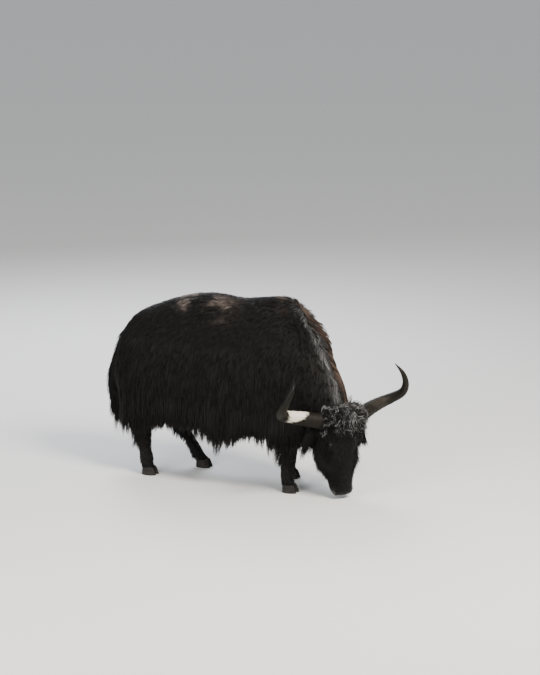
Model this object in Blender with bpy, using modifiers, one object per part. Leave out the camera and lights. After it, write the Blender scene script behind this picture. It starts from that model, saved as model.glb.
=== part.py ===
# A life-size grazing yak: long black coat, lowered head turned to its right, wide upswept horns.
# Metres, +Z up, +X the way the animal faces, +Y its left side.
# Stations are laid out from the ground point under the withers; the last step centres the whole
# animal on the middle of its footprint.

import math
import random

import bmesh
import bpy
import numpy as np
from mathutils import Matrix, Vector
from mathutils.bvhtree import BVHTree

# Driving dimensions
WITHERS_HEIGHT = 1.30
BELLY_HEIGHT = 0.40
SKIRT_TIP_HEIGHT = 0.262
TRUNK_REAR = -1.265
TRUNK_FRONT = 0.30
TRUNK_HALF_WIDTH = 0.315
STANCE_HALF_WIDTH = 0.165
HOOF_HEIGHT = 0.055
HOOF_LENGTH = 0.105
CLAW_WIDTH = 0.046
CLEFT = 0.008
HEAD_LENGTH = 0.53
HEAD_CENTRE = Vector((0.48, -0.17, 0.555))
HEAD_PITCH = math.radians(87)
HEAD_YAW = math.radians(-33)
HORN_BASE_RADIUS = 0.054
HORN_HALF_SPREAD = 0.475
HORN_RISE = 0.322
EAR_LENGTH = 0.17
EAR_WIDTH = 0.085
EYE_RADIUS = 0.021
# Width and thickness of the locks of the mane, the beard, the legs' fringes and the tail
MANE_WIDTH = 0.09
LOCK_THICKNESS = 0.016
BEARD_SIZE = (0.070, 0.018)
FRINGE_SIZE = (0.055, 0.018)
TAIL_LOCK_SIZE = (0.075, 0.022)
# How deep a lock's root lies in the skin
ROOT_DEPTH = 0.016
# Gaps between nodes that meet, and the longest way out for a corner of a face moved by one
GAP = 0.0005
HAIR_GAP = 0.0003
TAIL_GAP = 0.0008
SHARPEST = 6.0

HEAD_PLACE = (
    Matrix.Translation(HEAD_CENTRE)
    @ Matrix.Rotation(HEAD_YAW, 4, "Z")
    @ Matrix.Rotation(HEAD_PITCH, 4, "Y")
)

# Colours of the finishes, linear
COAT_BLACK = (0.012, 0.010, 0.010)
HORN_GREY = (0.30, 0.27, 0.22)
HOOF_BLACK = (0.03, 0.027, 0.025)
EYE_BROWN = (0.02, 0.01, 0.006)


def clear_scene():
    for obj in list(bpy.data.objects):
        bpy.data.objects.remove(obj, do_unlink=True)


def collection_named(name):
    made = bpy.data.collections.new(name)
    bpy.context.scene.collection.children.link(made)
    return made


def finish_named(name, colour, roughness):
    made = bpy.data.materials.new(name)
    made.use_nodes = True
    shader = made.node_tree.nodes["Principled BSDF"]
    shader.inputs["Base Color"].default_value = (*colour, 1.0)
    shader.inputs["Roughness"].default_value = roughness
    made.diffuse_color = (*colour, 1.0)
    return made


def along(keys, t):
    """The values at t on a smooth curve through keys, each a tuple (place, value, value, ...)."""
    last = len(keys) - 1
    t = min(max(t, keys[0][0]), keys[last][0])
    i = max(k for k in range(last) if keys[k][0] <= t)
    a, b = keys[i], keys[i + 1]
    before, after = keys[max(i - 1, 0)], keys[min(i + 2, last)]
    step = b[0] - a[0]
    s = (t - a[0]) / step
    found = []
    for k in range(1, len(a)):
        slope_a = (b[k] - before[k]) / (b[0] - before[0]) * step
        slope_b = (after[k] - a[k]) / (after[0] - a[0]) * step
        found.append(
            a[k] * (1 + 2 * s) * (1 - s) ** 2
            + b[k] * s * s * (3 - 2 * s)
            + slope_a * s * (1 - s) ** 2
            - slope_b * s * s * (1 - s)
        )
    return found


def ring(centre, across, up, half_width, rise, drop, count, square=2.0, pinch=0.0):
    """An oval of points. Its upper half narrows by pinch towards the top."""
    points = []
    for i in range(count):
        angle = 2 * math.pi * i / count
        c, s = math.cos(angle), math.sin(angle)
        x = math.copysign(abs(c) ** (2 / square), c) * half_width
        z = math.copysign(abs(s) ** (2 / square), s) * (rise if s > 0 else drop)
        x *= 1 - pinch * max(s, 0) ** 2
        points.append(centre + across * x + up * z)
    return points


def loft(name, rings, collection):
    """A closed body through rings of equal count, with a fan of triangles over each end."""
    shape = bmesh.new()
    loops = [[shape.verts.new(p) for p in points] for points in rings]
    count = len(loops[0])
    for first, second in zip(loops, loops[1:]):
        for i in range(count):
            j = (i + 1) % count
            shape.faces.new((first[i], first[j], second[j], second[i]))
    for end in (loops[0], loops[-1]):
        shape.faces.new(end)
    bmesh.ops.triangulate(shape, faces=[f for f in shape.faces if len(f.verts) > 4])
    bmesh.ops.recalc_face_normals(shape, faces=shape.faces)
    bmesh.ops.triangulate(shape, faces=shape.faces)
    mesh = bpy.data.meshes.new(name)
    shape.to_mesh(mesh)
    shape.free()
    made = bpy.data.objects.new(name, mesh)
    collection.objects.link(made)
    return made


def applied(obj):
    """The object's modifiers made permanent."""
    bpy.context.view_layer.update()
    graph = bpy.context.evaluated_depsgraph_get()
    mesh = bpy.data.meshes.new_from_object(obj.evaluated_get(graph))
    obj.modifiers.clear()
    obj.data = mesh
    return obj


def keep_largest(obj):
    """Drops scraps and sealed hollows: only the closed surface with the most volume stays."""
    shape = bmesh.new()
    shape.from_mesh(obj.data)
    unseen = set(shape.faces)
    groups = []
    while unseen:
        front = [unseen.pop()]
        group = list(front)
        while front:
            face = front.pop()
            for edge in face.edges:
                for other in edge.link_faces:
                    if other in unseen:
                        unseen.remove(other)
                        front.append(other)
                        group.append(other)
        groups.append(group)

    def volume(group):
        total = 0.0
        for face in group:
            corners = [v.co for v in face.verts]
            for i in range(1, len(corners) - 1):
                total += corners[0].dot(corners[i].cross(corners[i + 1])) / 6
        return total

    groups.sort(key=volume, reverse=True)
    scraps = [face for group in groups[1:] for face in group]
    bmesh.ops.delete(shape, geom=scraps, context="FACES")
    shape.to_mesh(obj.data)
    shape.free()
    return obj


def combined(obj, others, operation):
    """obj joined with the others, or cut by them; the others are used up."""
    if not others:
        return obj
    pieces = collection_named("pieces for " + obj.name)
    for other in others:
        for home in list(other.users_collection):
            home.objects.unlink(other)
        pieces.objects.link(other)
    modifier = obj.modifiers.new(operation.lower(), "BOOLEAN")
    modifier.operation = operation
    modifier.operand_type = "COLLECTION"
    modifier.collection = pieces
    modifier.solver = "MANIFOLD"
    applied(obj)
    for other in others:
        bpy.data.objects.remove(other, do_unlink=True)
    bpy.data.collections.remove(pieces)
    return keep_largest(obj)


def joined(obj, others):
    """obj made one body with the others."""
    return combined(obj, others, "UNION")


def swollen(obj, by):
    """A copy of obj, each face moved out by the gap that touching pieces keep."""
    copy = bpy.data.objects.new("clear of " + obj.name, obj.data.copy())
    bpy.context.scene.collection.objects.link(copy)
    copy.hide_render = True
    copy.display_type = "WIRE"
    shape = bmesh.new()
    shape.from_mesh(copy.data)
    shape.normal_update()
    moves = []
    for vertex in shape.verts:
        normals = np.array([face.normal for face in vertex.link_faces])
        move = np.linalg.lstsq(normals, np.full(len(normals), by), rcond=0.05)[0]
        reach = (normals @ move).min()
        move = Vector(move)
        if reach > by / 2:
            move *= by / reach
        if move.length > SHARPEST * by:
            move *= SHARPEST * by / move.length
        moves.append(move)
    for vertex, move in zip(shape.verts, moves):
        vertex.co += move
    shape.to_mesh(copy.data)
    shape.free()
    return copy


def cut_clear(obj, neighbours, by=GAP):
    """obj cut back from its neighbours, so that they meet face to face."""
    return combined(obj, [swollen(n, by) for n in neighbours], "DIFFERENCE")


def copies(pieces):
    """Copies of simple pieces, kept to cut other nodes clear once these are joined."""
    made = []
    for piece in pieces:
        copy = bpy.data.objects.new("copy of " + piece.name, piece.data.copy())
        bpy.context.scene.collection.objects.link(copy)
        made.append(copy)
    return made


def discard(pieces):
    for piece in pieces:
        bpy.data.objects.remove(piece, do_unlink=True)


def surface_of(obj):
    """The object's surface, for finding the nearest point on it."""
    shape = bmesh.new()
    shape.from_mesh(obj.data)
    tree = BVHTree.FromBMesh(shape)
    shape.free()
    return tree


DOWN = Vector((0, 0, -1))
# Share of a lock's length, of its width and of its thickness
LOCK_SHAPE = (
    (0.0, 0.55, 0.3),
    (0.25, 1.0, 0.6),
    (0.5, 0.95, 1.0),
    (0.75, 0.62, 0.85),
    (1.0, 0.1, 0.3),
)
OVERHANG = 0.35


def hair_path(surface, root, length, pull, lift, wave, steps=4, down=DOWN):
    """From inside the skin out along it, then free once the skin turns away under the hair."""
    place, normal, _, _ = surface.find_nearest(root)
    points = [place - normal * ROOT_DEPTH]
    facings = [normal]
    side = normal.cross(pull).normalized()
    step = length / steps
    hangs = False
    for k in range(1, steps + 1):
        near, normal, _, _ = surface.find_nearest(place)
        hangs = hangs or normal.dot(down) > OVERHANG
        if hangs:
            place = place + (pull + down).normalized() * step
            facing = facings[-1]
        else:
            along_skin = (pull - normal * pull.dot(normal)).normalized()
            ahead = place + along_skin * step
            near, normal, _, _ = surface.find_nearest(ahead)
            place = near + normal * (lift * (k - 0.4) / (steps - 0.4))
            facing = (normal + facings[-1]).normalized()
        place = place + side * (wave * math.sin(2.1 * k + 40 * wave))
        points.append(place)
        facings.append(facing)
    return points, facings


def lock(name, points, facings, width, thickness, home):
    """A flat tapered lock of hair through the points: a low ridge between two thin edges."""
    shape = bmesh.new()
    rings = []
    steps = len(points) - 1
    for k in range(steps):
        forward = (points[k + 1] - points[max(k - 1, 0)]).normalized()
        side = facings[k].cross(forward).normalized()
        out = forward.cross(side).normalized()
        broad, thick = along(LOCK_SHAPE, k / steps)
        half = side * (width / 2 * broad)
        ridge = out * (thickness * thick)
        corners = (half, ridge, -half)
        rings.append([shape.verts.new(points[k] + corner) for corner in corners])
    tip = shape.verts.new(points[steps])
    shape.faces.new(rings[0])
    for first, second in zip(rings, rings[1:]):
        for i in range(3):
            j = (i + 1) % 3
            shape.faces.new((first[i], first[j], second[j], second[i]))
    for i in range(3):
        shape.faces.new((rings[-1][i], rings[-1][(i + 1) % 3], tip))
    return closed_object(name, shape, home)


def closed_object(name, shape, home):
    """The finished bmesh as an object of triangles that face outwards."""
    bmesh.ops.recalc_face_normals(shape, faces=shape.faces)
    bmesh.ops.triangulate(shape, faces=shape.faces)
    mesh = bpy.data.meshes.new(name)
    shape.to_mesh(mesh)
    shape.free()
    made = bpy.data.objects.new(name, mesh)
    home.objects.link(made)
    return made


def ball(name, place, axes, radii, home, segments=6, rings=3):
    """A stretched ball: three directions and the reach along each."""
    turned = Matrix((axes[0] * radii[0], axes[1] * radii[1], axes[2] * radii[2])).transposed()
    shape = bmesh.new()
    bmesh.ops.create_uvsphere(shape, u_segments=segments, v_segments=rings, radius=1.0)
    bmesh.ops.transform(
        shape, matrix=Matrix.Translation(place) @ turned.to_4x4(), verts=shape.verts
    )
    return closed_object(name, shape, home)


# Trunk: place along X, top of the short coat on the back, half width of the body, how much
# the top narrows
TRUNK = (
    (TRUNK_REAR, 0.90, 0.05, 0.0),
    (TRUNK_REAR + 0.03, 0.99, 0.14, 0.1),
    (-1.14, 1.10, 0.235, 0.2),
    (-0.96, 1.185, 0.285, 0.25),
    (-0.75, 1.255, 0.305, 0.25),
    (-0.55, 1.28, TRUNK_HALF_WIDTH, 0.3),
    (-0.34, 1.265, TRUNK_HALF_WIDTH, 0.35),
    (-0.13, 1.295, 0.305, 0.45),
    (0.0, WITHERS_HEIGHT, 0.285, 0.5),
    (0.11, 1.23, 0.26, 0.45),
    (0.21, 1.06, 0.205, 0.3),
    (TRUNK_FRONT - 0.03, 0.90, 0.14, 0.1),
    (TRUNK_FRONT, 0.80, 0.05, 0.0),
)
WIDEST_HEIGHT = 0.74
TRUNK_RINGS = 22
TRUNK_SIDES = 22
TRUNK_SQUARENESS = 2.5


def trunk_floor(x):
    """The underside of the body: level under the barrel, lifting towards both ends."""
    reach = (x - TRUNK_REAR) / (TRUNK_FRONT - TRUNK_REAR)
    lift = abs(2 * reach - 1) ** 6
    return BELLY_HEIGHT + 0.18 * lift


def trunk_ring(x):
    top, half_width, pinch = along(TRUNK, x)
    return ring(
        Vector((x, 0, WIDEST_HEIGHT)),
        Vector((0, 1, 0)),
        Vector((0, 0, 1)),
        half_width,
        top - WIDEST_HEIGHT,
        WIDEST_HEIGHT - trunk_floor(x),
        TRUNK_SIDES,
        TRUNK_SQUARENESS,
        pinch,
    )


def trunk_core(home):
    places = []
    for i in range(TRUNK_RINGS):
        share = 0.5 - 0.5 * math.cos(math.pi * i / (TRUNK_RINGS - 1))
        even = i / (TRUNK_RINGS - 1)
        places.append(
            TRUNK_REAR + (TRUNK_FRONT - TRUNK_REAR) * (0.6 * share + 0.4 * even)
        )
    return loft("torso", [trunk_ring(x) for x in places], home)


# The way round the body that the skirt follows: along one flank, round the rump, along the
# other flank and round the brisket
FLANK_FRONT = 0.10
FLANK_REAR = -0.98
TURN_LENGTH = 0.75
ROUND_LENGTH = 2 * (FLANK_FRONT - FLANK_REAR + TURN_LENGTH)


def post(s):
    """The middle line's point and the sideways direction at s, measured round the body."""
    flank = FLANK_FRONT - FLANK_REAR
    s = s % ROUND_LENGTH
    if s < flank:
        return FLANK_FRONT - s, -90.0
    if s < flank + TURN_LENGTH:
        return FLANK_REAR, -90.0 - 180.0 * (s - flank) / TURN_LENGTH
    if s < 2 * flank + TURN_LENGTH:
        return FLANK_REAR + s - flank - TURN_LENGTH, 90.0
    return FLANK_FRONT, 90.0 - 180.0 * (s - 2 * flank - TURN_LENGTH) / TURN_LENGTH


# Tiers of the skirt: root height, spacing round the body, tip height, how far the hair stands
# off, bends along a lock
TIERS = (
    (0.58, 0.094, SKIRT_TIP_HEIGHT, 0.004, 4),
    (0.76, 0.120, 0.41, 0.024, 4),
    (0.93, 0.150, 0.60, 0.028, 4),
)
TAIL_HALF_ANGLE = 12.0
CHEST_HALF_ANGLE = 75.0
CHEST_ROOT_HEIGHT = 0.52


def skirt_locks(core, home):
    """Tiers of long hair round the flanks and rump, and one tier under the brisket."""
    draw = random.Random(11)
    surface = surface_of(core)
    made = []
    for tier, (root_height, spacing, tip_height, lift, steps) in enumerate(TIERS):
        count = int(ROUND_LENGTH / spacing)
        for i in range(count):
            x, angle = post((i + 0.5 * (tier % 2)) * ROUND_LENGTH / count + draw.uniform(-0.01, 0.01))
            behind = abs(abs(angle) - 180.0) < TAIL_HALF_ANGLE and x < FLANK_FRONT
            chest = abs(angle) < CHEST_HALF_ANGLE
            root_z = root_height + draw.uniform(-0.03, 0.03)
            tip_z = tip_height + draw.uniform(-0.035, 0.05)
            if behind or (chest and tier > 0):
                continue
            if chest:
                root_z = min(root_z, CHEST_ROOT_HEIGHT)
            heading = Vector((math.cos(math.radians(angle)), math.sin(math.radians(angle)), 0))
            hit = surface.ray_cast(Vector((x, 0, root_z)), heading)[0]
            if hit is None:
                continue
            pull = Vector((-0.16, 0, -1)) if not chest else Vector((0.05, 0, -1))
            points, facings = hair_path(
                surface,
                hit,
                root_z - tip_z,
                (pull + heading * 0.05).normalized(),
                lift,
                draw.uniform(-0.012, 0.012),
                steps,
            )
            width = 1.15 * spacing * draw.uniform(0.92, 1.08)
            made.append(lock("lock", points, facings, width, LOCK_THICKNESS, home))
    return made


def make_torso(home):
    """The torso, and copies of the simple pieces that it is made of."""
    core = trunk_core(home)
    locks = skirt_locks(core, home)
    pieces = copies([core] + locks)
    return joined(core, locks), pieces


# Neck, from inside the trunk to behind the head: share of the way, centre, half width,
# reach to the crest, reach to the throat
NECK = (
    (0.0, -0.02, 0.0, 0.98, 0.19, 0.26, 0.26),
    (0.35, 0.12, -0.01, 0.87, 0.185, 0.21, 0.26),
    (0.7, 0.27, -0.06, 0.68, 0.155, 0.165, 0.22),
    (1.0, 0.37, -0.12, 0.54, 0.12, 0.12, 0.16),
)
NECK_RINGS = 9
NECK_SIDES = 14


def neck_frame(t):
    """Centre, sideways and crestwards directions, and the three reaches at t along the neck."""
    x, y, z, half_width, rise, drop = along(NECK, t)
    before = Vector(along(NECK, t - 0.05)[:3])
    after = Vector(along(NECK, t + 0.05)[:3])
    forward = (after - before).normalized()
    crest = Vector((1, 0, 0)) - forward * forward.x
    crest.normalize()
    side = crest.cross(forward).normalized()
    return Vector((x, y, z)), side, crest, half_width, rise, drop


def neck_core(home):
    rings = []
    for i in range(NECK_RINGS):
        centre, side, crest, half_width, rise, drop = neck_frame(i / (NECK_RINGS - 1))
        rings.append(ring(centre, side, crest, half_width, rise, drop, NECK_SIDES))
    return loft("neck", rings, home)


# Mane rows: angle from the crest, first and last share of the neck, locks in the row, length
MANE_ROWS = (
    (20.0, 0.46, 0.86, 4, 0.25),
    (68.0, 0.56, 0.88, 3, 0.24),
    (108.0, 0.62, 0.80, 2, 0.20),
)


def mane_locks(core, home):
    """Rows of hair down both sides of the neck from its crest to its throat."""
    draw = random.Random(23)
    surface = surface_of(core)
    made = []
    for angle, first, last, count, length in MANE_ROWS:
        for hand in (-1, 1):
            for i in range(count):
                share = (i + (0.25 if hand > 0 else 0.75)) / count
                t = first + (last - first) * share
                centre, side, crest, half_width, rise, drop = neck_frame(t)
                turn = math.radians(angle + draw.uniform(-8, 8))
                height = rise if angle < 90.0 else drop
                root = centre
                root = root + side * (hand * half_width * math.sin(turn))
                root = root + crest * (height * math.cos(turn))
                pull = (Vector((-0.25, 0, -1)) + side * hand * 0.25).normalized()
                points, facings = hair_path(
                    surface,
                    root,
                    length * draw.uniform(0.85, 1.15),
                    pull,
                    0.020,
                    draw.uniform(-0.012, 0.012),
                    4,
                )
                width = MANE_WIDTH * draw.uniform(0.9, 1.1)
                made.append(lock("lock", points, facings, width, LOCK_THICKNESS, home))
    return made


def make_neck(home):
    core = neck_core(home)
    return joined(core, mane_locks(core, home))


# Head, in its own frame: +X from the horns to the muzzle, +Z out of the forehead.
# Place along X, half width, top, bottom, squareness, how much the jaw narrows
HEAD = (
    (-0.075, 0.045, 0.000, -0.090, 2.0, 0.0),
    (-0.055, 0.085, 0.025, -0.130, 2.1, 0.0),
    (-0.01, 0.115, 0.040, -0.200, 2.2, 0.1),
    (0.06, 0.125, 0.046, -0.282, 2.4, 0.2),
    (0.14, 0.119, 0.044, -0.312, 2.5, 0.25),
    (0.22, 0.105, 0.036, -0.305, 2.5, 0.3),
    (0.31, 0.086, 0.022, -0.264, 2.5, 0.3),
    (0.40, 0.069, 0.006, -0.202, 2.4, 0.25),
    (0.46, 0.065, -0.006, -0.158, 2.5, 0.2),
    (0.50, 0.060, -0.016, -0.130, 2.5, 0.15),
    (0.522, 0.049, -0.028, -0.108, 2.4, 0.1),
    (HEAD_LENGTH, 0.026, -0.045, -0.088, 2.0, 0.0),
)
HEAD_RINGS = 22
HEAD_SIDES = 18
ACROSS = Vector((0, 1, 0))
FACE_OUT = Vector((0, 0, 1))


def head_section(x):
    """Half width, height of the widest line, reach up and down, squareness and narrowing."""
    half_width, top, bottom, square, pinch = along(HEAD, x)
    middle = top + 0.40 * (bottom - top)
    return half_width, middle, top - middle, middle - bottom, square, pinch


def head_ring(x):
    half_width, middle, rise, drop, square, pinch = head_section(x)
    centre = Vector((x, 0, middle))
    return ring(
        centre, ACROSS, -FACE_OUT, half_width, drop, rise, HEAD_SIDES, square, pinch
    )


def head_side(x, z):
    """Half the head's width at height z of the section at x."""
    half_width, middle, rise, drop, square, pinch = head_section(x)
    share = (z - middle) / (rise if z > middle else drop)
    share = min(abs(share), 0.999)
    width = half_width * (1 - share**square) ** (1 / square)
    if z < middle:
        width *= 1 - pinch * share**2
    return width


def head_places():
    start = HEAD[0][0]
    places = []
    for i in range(HEAD_RINGS):
        share = 0.5 - 0.5 * math.cos(math.pi * i / (HEAD_RINGS - 1))
        even = i / (HEAD_RINGS - 1)
        places.append(start + (HEAD_LENGTH - start) * (0.55 * share + 0.45 * even))
    return places


def mirrored(vector, side):
    return Vector((vector.x, vector.y * side, vector.z))


EYE_PLACE = Vector((0.165, 0.091, -0.028))
EYE_FACING = Vector((-0.05, 0.90, 0.40)).normalized()
# Lids: half the almond's length and opening, thickness above and below, distance off the eye
LID_POINTS = 12
LID_LENGTH = 0.027
LID_OPENING = 0.0135
LID_ABOVE = 0.0062
LID_BELOW = 0.0050
LID_LIFT = 0.0015


def eye_lids(side, home):
    """A ring of skin over the eye in an almond, heavier above."""
    centre = mirrored(EYE_PLACE, side)
    out = mirrored(EYE_FACING, side)
    corner = Vector((1, 0, -0.25))
    corner = (corner - out * out.dot(corner)).normalized()
    upper = out.cross(corner) * side
    points, radii = [], []
    for i in range(LID_POINTS):
        angle = 2 * math.pi * i / LID_POINTS
        u = LID_LENGTH * math.cos(angle)
        v = LID_OPENING * math.sin(angle) * (1 - 0.25 * abs(math.cos(angle)))
        reach = math.sqrt((EYE_RADIUS + LID_LIFT) ** 2 - v * v) - 0.35 * abs(u)
        points.append(centre + corner * u + upper * v + out * reach)
        radii.append(LID_ABOVE if v > 0 else LID_BELOW)
    return tube("lids", points, radii, 1, home, closed=True)


# Brow, cheek, wing of the nostril, pad of the muzzle, lower lip and chin, on the left side:
# middle, reach, height
FACE_FORMS = (
    (Vector((0.140, 0.085, 0.010)), 0.038, 0.014),
    (Vector((0.215, 0.090, -0.110)), 0.060, 0.008),
    (Vector((0.497, 0.052, -0.035)), 0.024, 0.010),
    (Vector((0.490, 0.040, -0.075)), 0.040, 0.008),
    (Vector((0.470, 0.035, -0.125)), 0.035, 0.010),
)


def with_forms(point):
    """The point of the plain head moved out by the swellings of the face."""
    x = point.x
    middle = head_section(x)[1]
    out = (point - Vector((x - 0.02, 0, middle))).normalized()
    moved = 0.0
    for centre, reach, height in FACE_FORMS:
        for side in (1, -1):
            away = (point - mirrored(centre, side)).length / reach
            moved += height * math.exp(-away * away)
    return point + out * moved


MOUTH_CORNER = 0.405
MOUTH_FRONT = 0.527
MOUTH_HEIGHT = -0.106
MOUTH_GAPE = 0.005
MOUTH_DEPTH = 0.014
MOUTH_OUTSIDE = 0.030
MOUTH_POINTS = 6
CORNER_LIFT = 0.012


def mouth_slit(home):
    """The line of the mouth: a thin strip that follows the muzzle from corner to corner."""
    half = []
    for i in range(MOUTH_POINTS):
        t = i / (MOUTH_POINTS - 1)
        x = MOUTH_CORNER + (MOUTH_FRONT - MOUTH_CORNER) * math.sin(t * math.pi / 2)
        half.append((x, max(head_side(x, MOUTH_HEIGHT), 0.004), t))
    outline = [(x, y, t) for x, y, t in half] + [(x, -y, t) for x, y, t in reversed(half[:-1])]
    rings = []
    for x, y, t in outline:
        out = Vector((0.15 + 1.2 * t * t, y / 0.06, 0)).normalized()
        z = MOUTH_HEIGHT + CORNER_LIFT * (1 - t) ** 2
        gape = FACE_OUT * (MOUTH_GAPE * (0.5 + 0.5 * t))
        place = Vector((x, y, z))
        rings.append(
            [
                place - out * MOUTH_DEPTH,
                place + out * MOUTH_OUTSIDE + gape,
                place + out * MOUTH_OUTSIDE - gape,
            ]
        )
    return loft("mouth", rings, home)


NOSTRIL_PLACE = Vector((0.512, 0.048, -0.020))
NOSTRIL_SLANT = Vector((-0.55, 0.75, -0.35))
NOSTRIL_SIZE = (0.017, 0.009, 0.016)


def nostril_hole(side, surface, home):
    """A slanting hollow, deeper at its inner end, at the corner of the muzzle."""
    place, normal, _, _ = surface.find_nearest(mirrored(NOSTRIL_PLACE, side))
    slant = mirrored(NOSTRIL_SLANT, side)
    slant = (slant - normal * slant.dot(normal)).normalized()
    axes = (slant, slant.cross(normal), normal)
    return ball("nostril", place, axes, NOSTRIL_SIZE, home, 7, 4)


# Forelock: angle from the forehead back over the crown, clumps across, size
FORELOCK_ROWS = (
    (-40.0, 3, 0.9),
    (-17.0, 3, 1.1),
    (6.0, 4, 1.2),
    (30.0, 4, 1.25),
    (55.0, 4, 1.25),
    (80.0, 3, 1.35),
)
FORELOCK_CENTRE = Vector((0.035, 0, -0.085))
FORELOCK_SPREAD = 46.0
CLUMP_SIZE = Vector((0.036, 0.026, 0.017))
CLUMP_LIFT = 0.006


def forelock_clumps(surface, home):
    """Rounded clumps of curly hair, set close from the forehead back over the crown."""
    draw = random.Random(5)
    made = []
    for angle, count, size in FORELOCK_ROWS:
        for i in range(count):
            tilt = FORELOCK_SPREAD * (2 * (i + 0.5) / count - 1) + draw.uniform(-4, 4)
            back = math.radians(angle + draw.uniform(-5, 5))
            tilt = math.radians(tilt)
            ray = Vector(
                (
                    -math.sin(back) * math.cos(tilt),
                    math.sin(tilt),
                    math.cos(back) * math.cos(tilt),
                )
            )
            hit, normal, _, _ = surface.ray_cast(FORELOCK_CENTRE, ray)
            lie = Matrix.Rotation(draw.uniform(-0.9, 0.9), 3, normal) @ Vector((1, 0, 0.2))
            lie = (lie - normal * lie.dot(normal)).normalized()
            axes = (lie, normal.cross(lie), normal)
            radii = CLUMP_SIZE * (size * draw.uniform(0.85, 1.15))
            place = hit + normal * CLUMP_LIFT
            made.append(ball("clump", place, axes, radii, home))
    return made


# Beard: place along the jaw, how far down its side, length
BEARD = (
    (0.00, -0.18, 0.17),
    (0.05, -0.24, 0.18),
    (0.12, -0.288, 0.18),
    (0.19, -0.288, 0.17),
    (0.27, -0.256, 0.16),
)
MUZZLEWARDS = Vector((1, 0, 0))


def beard_locks(surface, home):
    """Hair of the cheeks and jaw, which hangs towards the muzzle as the head is lowered."""
    draw = random.Random(7)
    made = []
    for side in (1, -1):
        for x, z, length in BEARD:
            root = Vector((x, side * head_side(x, z), z))
            pull = Vector((1, 0.03 * side, -0.22)).normalized()
            points, facings = hair_path(
                surface,
                root,
                length * draw.uniform(0.9, 1.1),
                pull,
                0.022,
                draw.uniform(-0.004, 0.004),
                3,
                MUZZLEWARDS,
            )
            made.append(lock("beard", points, facings, *BEARD_SIZE, home))
    return made


def bare_head(home):
    rings = [[with_forms(p) for p in head_ring(x)] for x in head_places()]
    skin = loft("head", rings, home)
    return joined(skin, [eye_lids(side, home) for side in (1, -1)])


def finish_head(skin, home, attached):
    """Hair joined on, openings cut, and room left for what is set into the head."""
    surface = surface_of(skin)
    hair = forelock_clumps(surface, home) + beard_locks(surface, home)
    pieces = copies([skin] + hair)
    joined(skin, hair)
    for node in attached["set in"]:
        cut_clear(skin, [node])
    cut_clear(skin, attached["set on"], HAIR_GAP)
    openings = [mouth_slit(home)]
    openings += [nostril_hole(side, surface, home) for side in (1, -1)]
    combined(skin, openings, "DIFFERENCE")
    return pieces


# Horn, in the head's frame for the left side: share of the length, crownwards, outwards,
# out of the forehead, share of the base radius
HORN = (
    (0.00, -0.005, 0.085, -0.035, 1.00),
    (0.12, -0.002, 0.17, -0.065, 0.98),
    (0.27, 0.02, 0.275, -0.105, 0.88),
    (0.41, 0.043, 0.375, -0.12, 0.76),
    (0.50, 0.065, 0.435, -0.10, 0.67),
    (0.645, 0.115, HORN_HALF_SPREAD, -0.02, 0.53),
    (0.77, 0.185, 0.468, 0.03, 0.41),
    (0.885, 0.26, 0.435, 0.045, 0.27),
    (1.00, HORN_RISE, 0.40, 0.01, 0.05),
)
HORN_POINTS = 19


def tube(name, points, radii, resolution, home, closed=False):
    """A round rod through the points, with a radius at each, made a mesh with welded caps."""
    curve = bpy.data.curves.new(name, "CURVE")
    curve.dimensions = "3D"
    curve.bevel_depth = 1.0
    curve.bevel_resolution = resolution
    curve.use_fill_caps = not closed
    spline = curve.splines.new("POLY")
    spline.points.add(len(points) - 1)
    spline.use_cyclic_u = closed
    for point, place, radius in zip(spline.points, points, radii):
        point.co = (*place, 1.0)
        point.radius = radius
    guide = bpy.data.objects.new(name + " line", curve)
    bpy.context.scene.collection.objects.link(guide)
    bpy.context.view_layer.update()
    graph = bpy.context.evaluated_depsgraph_get()
    mesh = bpy.data.meshes.new_from_object(guide.evaluated_get(graph))
    bpy.data.objects.remove(guide, do_unlink=True)
    shape = bmesh.new()
    shape.from_mesh(mesh)
    bmesh.ops.remove_doubles(shape, verts=shape.verts, dist=0.00005)
    return closed_object(name, shape, home)


def make_horn(side, name, home):
    points, radii = [], []
    for i in range(HORN_POINTS):
        up, out, front, share = along(HORN, i / (HORN_POINTS - 1))
        points.append(Vector((-up, side * out, front)))
        radii.append(HORN_BASE_RADIUS * share)
    return tube(name, points, radii, 2, home)


def make_eye(side, name, home):
    shape = bmesh.new()
    bmesh.ops.create_icosphere(shape, subdivisions=2, radius=EYE_RADIUS)
    bmesh.ops.translate(shape, verts=shape.verts, vec=mirrored(EYE_PLACE, side))
    return closed_object(name, shape, home)


# Ear: share of the length, half width as a share, how deep the cup is as a share of the width
EAR = (
    (0.0, 0.36, 0.55),
    (0.2, 0.72, 0.50),
    (0.45, 1.0, 0.36),
    (0.7, 0.84, 0.24),
    (0.88, 0.52, 0.16),
    (1.0, 0.12, 0.05),
)
EAR_THICKNESS = 0.006
EAR_ROOT = Vector((0.053, 0.085, -0.121))
EAR_DIRECTION = Vector((0.46, 0.88, -0.15))
EAR_OPENING = Vector((0.60, -0.2, 0.75))
EAR_ROWS = 7
EAR_COLUMNS = 6


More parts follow.
